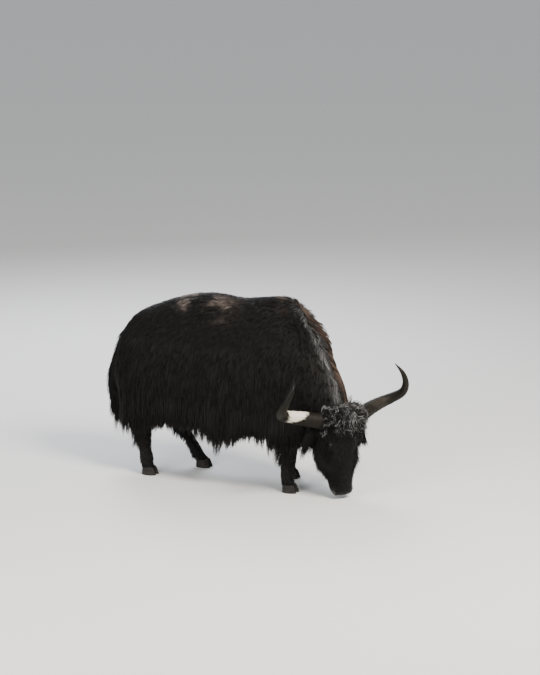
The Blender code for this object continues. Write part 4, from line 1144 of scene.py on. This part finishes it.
headSurface = headRings()[::2, ::2]
coat.append(growHair("coat_face", headSurface, faceCoat["count"], 41, faceShare, faceGrowth, faceCoat))
coat.append(growHair("coat_jaw", headSurface, jawCoat["count"], 42, jawShare, jawGrowth, jawCoat))
woolPlaces, woolFaces, woolStart = [skinPlaces], [skinCorners], len(skinPlaces)
for side in (1, -1):
    collar = hornRings(side, 0.6, 40, 24) + ground
    quads = np.array(ringFaces(len(collar), collar.shape[1])) + woolStart
    woolPlaces.append(collar.reshape(-1, 3))
    woolFaces.append(np.concatenate((quads[:, :3], quads[:, [0, 2, 3]])))
    woolStart += len(woolPlaces[-1])
woolTree = BVHTree.FromPolygons(np.concatenate(woolPlaces).tolist(), np.concatenate(woolFaces).tolist())
coat.append(growHair("coat_forelock", headSurface, frontCoat["count"], 43, frontShare, frontGrowth,
                     frontCoat, woolTree))
for side, name in ((1, "left"), (-1, "right")):
    boss = hornRings(side, horn["bossEnd"], 10, 24, horn["bossDepth"])
    coat.append(growHair("coat_wool_" + name, boss, woolCoat["count"], 45 + side,
                         lambda p: 1 + 0 * p[:, 2], woolGrowth(side),
                         dict(woolCoat, lit=woolLit[name]), woolTree))


# Legs: short hair lying down them, long fringes on the upper leg and behind, a collar over each hoof
legCoat = {"count": 2200, "lift": 0.044, "steps": 3, "lock": 7, "draw": 0.5,
           "width": 0.0062, "thickness": 0.0018, "stray": 0.12, "fall": 0.8, "rise": 0.7}


def legGrowth(places, normals, draw):
    z = places[:, 2]
    behind = np.clip(-normals[:, 0], 0, 1)
    upper = smoothStep(0.14, 0.36, z)
    length = 0.022 + 0.100 * upper * (0.5 + 0.8 * behind) + 0.012 * bump(z, 0.085, 0.02)
    raised = 0.13 + upper * (0.42 + 1.8 * behind) + 0.2 * bump(z, 0.068, 0.012)
    return np.minimum(length, z - 0.022), np.stack((-0.55 * behind, 0 * z, -1 + 0 * z), -1), raised


for i, (name, (kind, hock, foot, side)) in enumerate(legs["feet"].items()):
    coat.append(growHair("coat_leg_" + name, legRings(kind, hock, foot, side), legCoat["count"], 51 + i,
                         lambda p: smoothStep(0.60, 0.45, p[:, 2]) + 1.6 * bump(p[:, 2], 0.068, 0.015),
                         legGrowth, legCoat))


tailCoat = {"count": 2200, "lift": 0.066, "steps": 5, "lock": 14, "draw": 0.6, "width": 0.0080,
            "thickness": 0.0030, "wave": 0.010, "turns": 1.0, "stray": 0.10, "rise": 0.6}


def tailGrowth(places, normals, draw):
    z = places[:, 2]
    tip = 0.31 - 0.10 * smoothStep(-1.36, -1.24, places[:, 0]) + 0.06 * draw.random(len(z))
    length = np.clip(0.22 + 0.16 * smoothStep(0.95, 0.75, z), 0.05, np.maximum(z - tip, 0.06))
    raised = 0.35 + 0.65 * smoothStep(0.95, 0.75, z)
    return length, np.stack((-0.04 + 0 * z, 0.15 * np.sign(places[:, 1]), -1 + 0 * z), -1), raised


coat.append(growHair("coat_tail", tailRings(), tailCoat["count"], 61,
                     lambda p: 1 + 0 * p[:, 2], tailGrowth, tailCoat))


earCoat = {"count": 1600, "lift": 0.012, "steps": 4, "lock": 6, "draw": 0.4,
           "width": 0.0052, "thickness": 0.0016, "stray": 0.18, "fall": 0.9}


def earGrowth(side):
    mirror = np.array((1.0, side, 1.0))
    out = unit(np.array(ear["direction"]) * mirror)

    def growth(places, normals, draw):
        share = np.clip(((toHead(places) - np.array(ear["root"]) * mirror) @ out) / ear["length"], 0, 1)
        length = 0.045 + 0.120 * smoothStep(0.1, 0.7, share) * draw.uniform(0.3, 1.1, len(places))
        pull = (out @ headTurn.T) * 0.6 + np.array((0.0, 0.0, -0.75))
        return length, pull * np.ones((len(places), 1)), 1 + 0 * share
    return growth


for side, name in ((1, "left"), (-1, "right")):
    coat.append(growHair("coat_ear_" + name, earSheet(side), earCoat["count"], 71 + side,
                         lambda p: 1 + 0 * p[:, 2], earGrowth(side), earCoat))
print("coat in", len(coat), "pieces")


def makeHorn(side, name):
    t = np.linspace(0, 1, horn["rings"])
    path, radius = hornPath(side, t)
    fade = smoothStep(0.62, 0.45, t)
    ripple = np.abs(np.sin(math.pi * horn["growthRings"] * t**0.8)) ** 1.6
    radius = radius - horn["ringDepth"] * ripple * fade
    path = path + ground
    ahead = unit(path[-1] - path[-2])
    path = np.concatenate((path, path[-1] + np.outer((0.4, 0.75, 0.95), ahead * radius[-1])))
    radius = np.concatenate((radius, radius[-1] * np.array((0.88, 0.6, 0.25))))
    bpy.ops.curve.primitive_nurbs_path_add(location=(0, 0, 0))
    piece = bpy.context.object
    piece.data.splines.clear()
    spline = piece.data.splines.new("POLY")
    spline.points.add(len(path) - 1)
    spline.points.foreach_set("co", np.concatenate((path, np.ones((len(path), 1))), 1).ravel())
    spline.points.foreach_set("radius", radius)
    piece.data.dimensions = "3D"
    piece.data.bevel_depth = 1.0
    piece.data.bevel_resolution = 9
    piece.data.use_fill_caps = True
    selectOnly(piece)
    bpy.ops.object.convert(target="MESH")
    piece = bpy.context.object
    piece.name = piece.data.name = name
    places = np.array([v.co for v in piece.data.vertices])
    tree = treeOf(path)
    nearest = np.array([tree.find(p)[1] for p in places.tolist()])
    share = np.minimum(nearest / (horn["rings"] - 1), 1.0)
    belowness = unit(places - path[nearest]) @ np.array((0.0, 0.0, -1.0))
    # the third mark picks out the left horn for its painted shade
    marks = np.stack((share, 0.5 + 0.5 * belowness, (side > 0) + 0 * share, 1 + 0 * share), -1)
    addMarks(piece.data, "hornMarks", marks)
    piece.data.shade_smooth()
    return piece


horns = {name: makeHorn(side, "horn_" + name + "_fine") for side, name in ((1, "left"), (-1, "right"))}


def makeEye(side, name):
    centre, out, corner, upper = eyeAxes(side)
    axes = [out @ headTurn.T, corner @ headTurn.T, upper @ headTurn.T]
    bpy.ops.mesh.primitive_uv_sphere_add(segments=64, ring_count=40, radius=eye["radius"],
                                         location=(0, 0, 0))
    piece = bpy.context.object
    piece.name = piece.data.name = name
    local = np.array([v.co for v in piece.data.vertices]) / eye["radius"]
    # the sphere's own +Z looks out; the cornea bulges where the lids open
    bulge = 0.0022 * smoothStep(0.72, 0.98, local[:, 2])
    reach = eye["radius"] + bulge
    turned = local[:, 2:] * axes[0] + local[:, :1] * axes[1] + local[:, 1:2] * axes[2]
    middle = fromHead(centre[None])[0] + ground
    for vertex, place in zip(piece.data.vertices, middle + turned * reach[:, None]):
        vertex.co = place
    marks = np.concatenate((local * 0.5 + 0.5, np.ones((len(local), 1))), 1)
    addMarks(piece.data, "eyePlace", marks)
    if side < 0:
        piece.data.flip_normals()
    piece.data.shade_smooth()
    return piece


eyes = {name: makeEye(side, "eye_" + name + "_fine") for side, name in ((1, "left"), (-1, "right"))}


# Claws, lofted through rings because a toe turned in and pointed has no primitive near it.
# Height share, length share, width share, how far back the middle lies
claw = {"stations": ((0.0, 1.0, 1.0, 0.0), (1.0, 0.76, 0.88, 0.09)), "square": 2.4, "rings": 14,
        "sides": 40}


def makeClaw(name, foot, side, inner):
    height = stance["hoofHeight"]
    share = np.linspace(0, 1, claw["rings"])
    long, wide, back = smoothAlong(((-1.0, 1.24, 1.12, -0.09),) + claw["stations"], share).T
    edge = np.minimum(1, 0.93 + 0.9 * share * height / 0.012)
    crown = 1 - 0.06 * smoothStep(0.85, 1.0, share)
    x = foot + stance["clawSetting"] - back * stance["hoofLength"] + 0 * share
    y = side * (stance["side"] + (-inner) * (stance["clawWidth"] + stance["cleft"]) / 2)
    centres = np.stack((x, y + 0 * x, 0.0003 + share * (height - 0.0006)), -1)
    across = np.tile((0.0, 1.0, 0.0), (len(x), 1))
    ahead = np.tile((1.0, 0.0, 0.0), (len(x), 1))
    half = stance["clawWidth"] / 2 * wide * edge * crown
    reach = stance["hoofLength"] / 2 * long * edge * crown
    rings = ovalRings(centres, across, ahead, half, reach, reach, claw["sides"], claw["square"])
    # the toe turned in and pointed, the wall a little hollow towards it
    toe = np.clip((rings[..., 0] - x[:, None]) / reach[:, None], 0, 1)
    rings[..., 1] += (centres[:, None, 1] - rings[..., 1]) * 0.42 * toe**2
    rings[..., 1] += -side * (-inner) * 0.004 * toe**2
    piece = skinOver(name, rings + ground)
    bpy.ops.object.shade_smooth_by_angle(angle=math.radians(50))
    return piece


claws = []
for name, (kind, hock, foot, side) in legs["feet"].items():
    for place, inner in (("outer", -1), ("inner", 1)):
        node = "claw_" + name + "_" + place
        claws.append((node, makeClaw(node + "_fine", foot, side, inner)))
print("horns, eyes and claws made")


# Materials
def linear(code, alpha=1.0):
    # a colour written as sRGB hex, as the renderer wants it
    parts = [int(code[i:i + 2], 16) / 255 for i in (1, 3, 5)]
    return tuple(p / 12.92 if p <= 0.04045 else ((p + 0.055) / 1.055) ** 2.4 for p in parts) + (alpha,)


def startMaterial(name, **settings):
    material = bpy.data.materials.new(name)
    material.use_nodes = True
    tree = material.node_tree
    shader = tree.nodes["Principled BSDF"]
    for key, value in settings.items():
        shader.inputs[key.replace("_", " ")].default_value = value
    return material, tree, shader


def addNode(tree, kind, inputs=None, **settings):
    node = tree.nodes.new("ShaderNode" + kind)
    for key, value in settings.items():
        setattr(node, key, value)
    for key, value in (inputs or {}).items():
        if isinstance(value, bpy.types.NodeSocket):
            tree.links.new(value, node.inputs[key])
        else:
            node.inputs[key].default_value = value
    return node


def spotted(tree, place, scale, low, high, detail=3.0):
    pattern = addNode(tree, "TexNoise", {"Vector": place, "Scale": scale, "Detail": detail})
    ranged = addNode(tree, "MapRange", {"Value": pattern.outputs["Fac"], "From Min": low,
                                                  "From Max": high}, interpolation_type="SMOOTHSTEP")
    return ranged.outputs["Result"]


# the browns are painted sunlight; the grey is painted glints along with the muzzle's own grey hair
colours = {
    "hair": "#060505", "hairLight": "#110f0e", "hairTip": "#16120f", "sunlitBrown": "#665347",
    "sunlitBrownBack": "#80736b",
    "greyAndGlint": "#b4b5b6", "skin": "#060505", "hornPale": "#e6dfcd", "hornOlive": "#13100c",
    "hornSlate": "#181510", "hornTip": "#0b0a09", "hoof": "#131110", "hoofDust": "#3f3830",
    "iris": "#150c07", "pupil": "#040303", "sclera": "#2c211c", "nose": "#0f0e0f",
}


def sunlitAndGreyed(tree, tint, base, sunlitStrength, greyStrength):
    # painted sunlit brown above one half of the tint, duller behind the withers, and grey below one half,
    # painted glints with the muzzle's own grey hair
    along = addNode(tree, "TexCoord").outputs["Object"]
    along = addNode(tree, "SeparateXYZ", {"Vector": along}).outputs["X"]
    behind = addNode(tree, "MapRange", {"Value": along, "From Min": 0.05 + ground[0],
                                                  "From Max": -0.15 + ground[0]}).outputs["Result"]
    sunlitBrowns = addNode(tree, "Mix",
                     {0: behind, 6: linear(colours["sunlitBrown"]),
                      7: linear(colours["sunlitBrownBack"])}, data_type="RGBA").outputs[2]
    sunlitBrown = addNode(tree, "Math", {0: tint, 1: 2.0, 2: -1.0}, operation="MULTIPLY_ADD").outputs[0]
    sunlitBrown = addNode(tree, "Math", {0: sunlitBrown, 1: sunlitStrength}, operation="MULTIPLY").outputs[0]
    sunlitBrown = addNode(tree, "Math", {0: sunlitBrown, 1: 0.0}, operation="MAXIMUM").outputs[0]
    base = addNode(tree, "Mix", {0: sunlitBrown, 6: base, 7: sunlitBrowns}, data_type="RGBA").outputs[2]
    greyAndGlint = addNode(tree, "Math", {0: tint, 1: -2.0, 2: 1.0}, operation="MULTIPLY_ADD").outputs[0]
    greyAndGlint = addNode(tree, "Math", {0: greyAndGlint, 1: greyStrength}, operation="MULTIPLY").outputs[0]
    greyAndGlint = addNode(tree, "Math", {0: greyAndGlint, 1: 0.0}, operation="MAXIMUM").outputs[0]
    return addNode(tree, "Mix", {0: greyAndGlint, 6: base, 7: linear(colours["greyAndGlint"])}, data_type="RGBA").outputs[2]


def hairMaterial():
    # guard hair of a black yak: dry keratin fibres in locks, so a soft sheen along them, no gloss
    material, tree, shader = startMaterial("yakHair", Roughness=0.50, IOR=1.55, Specular_IOR_Level=0.14,
                                           Sheen_Weight=0.015, Sheen_Roughness=0.4)
    marks = addNode(tree, "Attribute", attribute_name="hairMarks")
    along, tone, tint = addNode(tree, "SeparateColor", {"Color": marks.outputs["Color"]}).outputs
    across = marks.outputs["Alpha"]
    # about ten fibres side by side in a tuft, darker and lighter by turns
    fibres = addNode(tree, "Math", {0: across, 1: 5.0}, operation="MULTIPLY").outputs[0]
    shifted = addNode(tree, "Math", {0: tone, 1: 40.0, 2: fibres}, operation="MULTIPLY_ADD").outputs[0]
    lengthwise = addNode(tree, "Math", {0: along, 1: 1.6}, operation="MULTIPLY").outputs[0]
    where = addNode(tree, "CombineXYZ", {"X": shifted, "Y": lengthwise}).outputs["Vector"]
    strands = addNode(tree, "TexNoise", {"Vector": where, "Scale": 2.0, "Detail": 2.0})
    shade = addNode(tree, "Math", {0: tone, 1: 0.6}, operation="MULTIPLY").outputs[0]
    shade = addNode(tree, "Math", {0: strands.outputs["Fac"], 1: 0.5, 2: shade},
                    operation="MULTIPLY_ADD").outputs[0]
    base = addNode(tree, "Mix", {0: shade, 6: linear(colours["hair"]), 7: linear(colours["hairLight"])},
                   data_type="RGBA").outputs[2]
    tipped = addNode(tree, "Math", {0: along, 1: 2.5}, operation="POWER").outputs[0]
    tipped = addNode(tree, "Math", {0: tipped, 1: 0.6}, operation="MULTIPLY").outputs[0]
    base = addNode(tree, "Mix", {0: tipped, 6: base, 7: linear(colours["hairTip"])},
                   data_type="RGBA").outputs[2]
    # the grey, painted glints with the muzzle's own grey hair, shows most towards the tips
    greyStrength = addNode(tree, "Math", {0: along, 1: 0.7, 2: 0.3}, operation="MULTIPLY_ADD").outputs[0]
    base = sunlitAndGreyed(tree, tint, base, 0.7, greyStrength)
    tree.links.new(base, shader.inputs["Base Color"])
    raised = addNode(tree, "Bump", {"Height": strands.outputs["Fac"], "Strength": 0.5,
                                              "Distance": 0.0010})
    tree.links.new(raised.outputs["Normal"], shader.inputs["Normal"])
    return material


def furGrain(tree, place, rotation, stretch):
    turned = addNode(tree, "Mapping", {"Vector": place, "Rotation": rotation})
    scaled = addNode(tree, "Mapping", {"Vector": turned.outputs["Vector"], "Scale": stretch})
    return addNode(tree, "TexNoise", {"Vector": scaled.outputs["Vector"], "Scale": 480.0,
                                                "Detail": 2.0}).outputs["Fac"]


def skinMaterial():
    # black hide under the coat, with the down of 1 to 2 mm hairs as a fine dry roughness
    material, tree, shader = startMaterial("yakSkin", Roughness=0.62, IOR=1.45, Specular_IOR_Level=0.2,
                                           Sheen_Weight=0.03, Sheen_Roughness=0.4)
    marks = addNode(tree, "Attribute", attribute_name="skinMarks")
    parts = addNode(tree, "SeparateColor", {"Color": marks.outputs["Color"]})
    bare, onHead, tint = parts.outputs
    place = addNode(tree, "TexCoord").outputs["Object"]
    spots = spotted(tree, place, 60.0, 0.35, 0.7)
    base = addNode(tree, "Mix", {0: spots, 6: linear(colours["skin"]), 7: linear(colours["hair"])},
                   data_type="RGBA").outputs[2]
    # painted sunlight and grey glints of the coat, on the skin as well
    base = sunlitAndGreyed(tree, tint, base, 0.5, 0.35)
    base = addNode(tree, "Mix", {0: bare, 6: base, 7: linear(colours["nose"])}, data_type="RGBA").outputs[2]
    tree.links.new(base, shader.inputs["Base Color"])
    wet = addNode(tree, "Math", {0: bare, 1: -0.30, 2: 0.62}, operation="MULTIPLY_ADD").outputs[0]
    tree.links.new(wet, shader.inputs["Roughness"])
    # pores of the nose pad 3 mm apart; elsewhere hairs 2 mm apart that run down the body or the face
    pores = addNode(tree, "TexVoronoi", {"Vector": place, "Scale": 330.0}, feature="F1")
    body = furGrain(tree, place, (0.0, 0.0, 0.0), (1.0, 1.0, 0.08))
    turned = headPlace.to_3x3().inverted().to_euler()
    face = furGrain(tree, place, tuple(turned), (0.08, 1.0, 1.0))
    fur = addNode(tree, "Mix", {0: onHead, 2: body, 3: face}).outputs[0]
    onPad = addNode(tree, "Math", {0: bare, 1: 2.0, 2: -1.0}, operation="MULTIPLY_ADD").outputs[0]
    onPad = addNode(tree, "Math", {0: onPad, 1: 0.0}, operation="MAXIMUM").outputs[0]
    height = addNode(tree, "Mix", {0: onPad, 2: fur, 3: pores.outputs["Distance"]})
    raised = addNode(tree, "Bump", {"Height": height.outputs[0], "Strength": 0.9,
                                              "Distance": 0.0022})
    tree.links.new(raised.outputs["Normal"], shader.inputs["Normal"])
    return material


def hornMaterial():
    # cattle horn, weathered: pale and dull at the base with growth rings, dark and rubbed smooth at the
    # tip; painted shade where the head shadows the base and underneath
    material, tree, shader = startMaterial("yakHorn", IOR=1.56, Specular_IOR_Level=0.11)
    marks = addNode(tree, "Attribute", attribute_name="hornMarks")
    parts = addNode(tree, "SeparateColor", {"Color": marks.outputs["Color"]})
    along, below, leftHornShaded = parts.outputs
    place = addNode(tree, "TexCoord").outputs["Object"]
    # ragged across the horn in streaks 1 to 3 cm wide, along the edge of the painted shade and where the
    # layers of horn wear back
    lengthwise = addNode(tree, "Math", {0: along, 1: 18.0}, operation="MULTIPLY").outputs[0]
    around = addNode(tree, "Math", {0: below, 1: 14.0}, operation="MULTIPLY").outputs[0]
    layered = addNode(tree, "CombineXYZ", {"X": lengthwise, "Y": around}).outputs["Vector"]
    uneven = spotted(tree, layered, 1.0, 0.2, 0.8)
    uneven = addNode(tree, "Math", {0: uneven, 1: 0.06}, operation="MULTIPLY").outputs[0]
    # the painted shade over the horn's base reaches further out underneath, and the pale length ends the
    # same all round
    shadowEdge = addNode(tree, "Math", {0: below, 1: -0.13, 2: along}, operation="MULTIPLY_ADD").outputs[0]
    lowest = addNode(tree, "Math", {0: below, 1: 4.0}, operation="POWER").outputs[0]
    shadowEdge = addNode(tree, "Math", {0: lowest, 1: -0.10, 2: shadowEdge},
                       operation="MULTIPLY_ADD").outputs[0]
    shadowEdge = addNode(tree, "Math", {0: shadowEdge, 1: uneven}, operation="ADD").outputs[0]
    inner = addNode(tree, "MapRange", {"Value": shadowEdge, "From Min": 0.240, "From Max": 0.268})
    ragged = addNode(tree, "Math", {0: along, 1: uneven}, operation="ADD").outputs[0]
    ramp = addNode(tree, "ValToRGB", {"Fac": ragged})
    stops = ((0.0, "hornPale"), (0.445, "hornPale"), (0.475, "hornOlive"), (0.56, "hornSlate"),
             (0.68, "hornSlate"), (0.82, "hornTip"), (1.0, "hornTip"))
    elements = ramp.color_ramp.elements
    elements[0].position, elements[0].color = stops[0][0], linear(colours[stops[0][1]])
    elements[1].position, elements[1].color = stops[-1][0], linear(colours[stops[-1][1]])
    for position, name in stops[1:-1]:
        elements.new(position).color = linear(colours[name])
    streaks = addNode(tree, "TexNoise", {"Vector": place, "Scale": 55.0, "Detail": 4.0})
    # painted shade: olive over the base of the horn, where the head's shadow falls
    base = addNode(tree, "Mix",
                   {0: inner.outputs["Result"], 6: linear(colours["hornOlive"]),
                    7: ramp.outputs["Color"]}, data_type="RGBA").outputs[2]
    streaked = addNode(tree, "Math", {0: streaks.outputs["Fac"], 1: 0.25}, operation="MULTIPLY").outputs[0]
    base = addNode(tree, "Mix", {0: streaked, 6: base, 7: linear(colours["hornSlate"])},
                   data_type="RGBA").outputs[2]
    # painted shade: the left horn is the darker of the two, and both are darker underneath
    leftHornShade = addNode(tree, "Math", {0: leftHornShaded, 1: 0.985}, operation="MULTIPLY").outputs[0]
    hornShade = addNode(tree, "Math", {0: below, 1: 0.30}, operation="MULTIPLY").outputs[0]
    hornShade = addNode(tree, "Math", {0: leftHornShade, 1: hornShade}, operation="MAXIMUM").outputs[0]
    base = addNode(tree, "Mix", {0: hornShade, 6: base, 7: linear(colours["hornSlate"])},
                   data_type="RGBA").outputs[2]
    tree.links.new(base, shader.inputs["Base Color"])
    rough = addNode(tree, "MapRange", {"Value": along, "From Min": 0.3, "From Max": 0.9,
                                                 "To Min": 0.62, "To Max": 0.42})
    tree.links.new(rough.outputs["Result"], shader.inputs["Roughness"])
    grain = addNode(tree, "TexNoise", {"Vector": place, "Scale": 240.0, "Detail": 3.0})
    raised = addNode(tree, "Bump", {"Height": grain.outputs["Fac"], "Strength": 0.25,
                                              "Distance": 0.0006})
    tree.links.new(raised.outputs["Normal"], shader.inputs["Normal"])
    return material


def hoofMaterial():
    # black hoof horn, matt with dry dust that lies lower down, fine ridges round the wall every 3 mm
    material, tree, shader = startMaterial("yakHoof", Roughness=0.6, IOR=1.5, Specular_IOR_Level=0.25)
    place = addNode(tree, "TexCoord").outputs["Object"]
    height = addNode(tree, "SeparateXYZ", {"Vector": place}).outputs["Z"]
    low = addNode(tree, "MapRange", {"Value": height, "From Min": 0.0, "From Max": 0.045,
                                               "To Min": 0.55, "To Max": 0.1}).outputs["Result"]
    dust = spotted(tree, place, 45.0, 0.3, 0.7)
    dust = addNode(tree, "Math", {0: low, 1: dust}, operation="MULTIPLY").outputs[0]
    base = addNode(tree, "Mix", {0: dust, 6: linear(colours["hoof"]), 7: linear(colours["hoofDust"])},
                   data_type="RGBA").outputs[2]
    tree.links.new(base, shader.inputs["Base Color"])
    ridges = addNode(tree, "TexWave", {"Vector": place, "Scale": 52.0, "Distortion": 2.0,
                                                 "Detail": 2.0}, bands_direction="Z")
    raised = addNode(tree, "Bump", {"Height": ridges.outputs["Fac"], "Strength": 0.18,
                                              "Distance": 0.0008})
    tree.links.new(raised.outputs["Normal"], shader.inputs["Normal"])
    return material


def eyeMaterial():
    # wet eyeball: near-black brown iris under a clear film, a level oval pupil
    material, tree, shader = startMaterial("yakEye", Roughness=0.07, IOR=1.376, Specular_IOR_Level=0.45,
                                           Coat_Weight=0.25, Coat_Roughness=0.03)
    marks = addNode(tree, "Attribute", attribute_name="eyePlace")
    centred = addNode(tree, "VectorMath", {0: marks.outputs["Color"], 1: (-0.5, -0.5, -0.5)},
                      operation="ADD").outputs["Vector"]
    u, v, w = addNode(tree, "SeparateXYZ", {"Vector": centred}).outputs
    across = addNode(tree, "Math", {0: u, 1: u}, operation="MULTIPLY").outputs[0]
    upright = addNode(tree, "Math", {0: v, 1: v}, operation="MULTIPLY").outputs[0]
    iris = addNode(tree, "Math", {0: across, 1: 12.0}, operation="MULTIPLY").outputs[0]
    iris = addNode(tree, "Math", {0: upright, 1: 14.0, 2: iris}, operation="MULTIPLY_ADD").outputs[0]
    beyond = addNode(tree, "Math", {0: iris, 1: 1.0}, operation="GREATER_THAN").outputs[0]
    base = addNode(tree, "Mix", {0: beyond, 6: linear(colours["iris"]), 7: linear(colours["sclera"])},
                   data_type="RGBA").outputs[2]
    pupil = addNode(tree, "Math", {0: across, 1: 38.0}, operation="MULTIPLY").outputs[0]
    pupil = addNode(tree, "Math", {0: upright, 1: 120.0, 2: pupil}, operation="MULTIPLY_ADD").outputs[0]
    within = addNode(tree, "Math", {0: pupil, 1: 1.0}, operation="LESS_THAN").outputs[0]
    base = addNode(tree, "Mix", {0: within, 6: base, 7: linear(colours["pupil"])},
                   data_type="RGBA").outputs[2]
    tree.links.new(base, shader.inputs["Base Color"])
    return material


def skinMarks(piece):
    # the coat's painted sunlight and grey on the skin too, with the bare nose pad
    places = np.array([v.co for v in piece.data.vertices]) - ground
    h = toHead(places)
    pad = bump(h[:, 0], 0.53, 0.035) * bump(h[:, 2], -0.045, 0.05) * (np.abs(h[:, 1]) < 0.075)
    near = (h[:, 0] > 0.35) & (np.abs(h[:, 1]) < 0.12)
    bare = smoothStep(0.25, 0.5, pad) * near
    for side in (1, -1):
        centre, out, corner, upper = eyeAxes(side)
        u, v = (h - centre) @ corner, (h - centre) @ upper
        ring = np.sqrt((u / 0.031) ** 2 + (v / 0.019) ** 2)
        bare = np.maximum(bare, 0.5 * (1 - smoothStep(0.9, 1.2, ring)) * ((h - centre) @ out > -0.01))
    directions = np.array([v.normal for v in piece.data.vertices])
    onHead = smoothStep(-0.06, 0.04, h[:, 0]) * (np.abs(h[:, 1]) < 0.2) * (h[:, 2] > -0.36)
    marks = np.stack((bare, onHead, paintedSunAndGrey(places, directions), 1 + 0 * bare), -1)
    addMarks(piece.data, "skinMarks", marks)


skinMarks(skin)
hairFinish, skinFinish, hornFinish = hairMaterial(), skinMaterial(), hornMaterial()
hoofFinish, eyeFinish = hoofMaterial(), eyeMaterial()


def dress(piece, finish, slot, *nodes):
    piece.data.materials.clear()
    piece.data.materials.append(finish)
    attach(piece, "root")
    if nodes:
        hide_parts(*nodes)


dress(skin, skinFinish, "coat", "torso", "neck", "head", "tail", "ear_left", "ear_right",
      *["leg_" + name for name in legs["feet"]])
for piece in coat:
    dress(piece, hairFinish, "coat")
for name in ("left", "right"):
    dress(horns[name], hornFinish, "horn", "horn_" + name)
    dress(eyes[name], eyeFinish, "eye", "eye_" + name)
for node, piece in claws:
    dress(piece, hoofFinish, "hoof", node)
print("dressed")


# Floor, light and camera
def makeFloor():
    bpy.ops.mesh.primitive_plane_add(size=60, location=(0, 0, 0))
    floor = bpy.context.object
    floor.name = "floor"
    material, tree, shader = startMaterial("floorPaint", Roughness=0.85)
    shader.inputs["Base Color"].default_value = linear("#d9d8d6")
    floor.data.materials.append(material)


def addLight(name, place, target, size, power, colour="#ffffff"):
    light = bpy.data.lights.new(name, "AREA")
    light.shape = "DISK"
    light.size = size
    light.energy = power
    light.color = linear(colour)[:3]
    lamp = bpy.data.objects.new(name, light)
    bpy.context.scene.collection.objects.link(lamp)
    lamp.location = place
    lamp.rotation_euler = (Vector(place) - Vector(target)).to_track_quat("Z", "Y").to_euler()


def makeWorld():
    world = bpy.data.worlds.new("paleRoom")
    world.use_nodes = True
    background = world.node_tree.nodes["Background"]
    background.inputs["Color"].default_value = linear("#e8ebef")
    background.inputs["Strength"].default_value = 0.75
    bpy.context.scene.world = world


makeFloor()
addLight("key", (4.5, -2.0, 5.5), (-0.1, 0.0, 0.7), 2.6, 900, "#fff6ea")
addLight("front", (-1.5, -6.0, 3.2), (-0.1, 0.0, 0.6), 4.0, 330)
addLight("rim", (-3.5, 4.0, 4.5), (-0.3, 0.0, 0.8), 3.0, 420, "#f2f6ff")
makeWorld()


view = {"turn": math.radians(25), "drop": math.radians(13), "scale": 147.0, "distance": 19.0,
        "sensor": 36.0, "imageHeight": 675,  # the longer side of the picture, in mm and in pixels
        "aim": (-0.136, 0.997, -0.04)}


def makeCamera():
    turn, drop = view["turn"], view["drop"]
    back = np.array((math.sin(turn) * math.cos(drop), -math.cos(turn) * math.cos(drop), math.sin(drop)))
    right = np.array((math.cos(turn), math.sin(turn), 0.0))
    up = np.cross(back, right)
    aim = right * view["aim"][0] + up * view["aim"][1] + back * view["aim"][2] + ground
    data = bpy.data.cameras.new("camera")
    data.lens = view["sensor"] * view["distance"] * view["scale"] / view["imageHeight"]
    data.clip_end = 200
    camera = bpy.data.objects.new("camera", data)
    bpy.context.scene.collection.objects.link(camera)
    turned = Matrix((right, up, back)).transposed().to_4x4()
    turned.translation = aim + back * view["distance"]
    camera.matrix_world = turned
    bpy.context.scene.camera = camera


makeCamera()
bpy.context.view_layer.update()
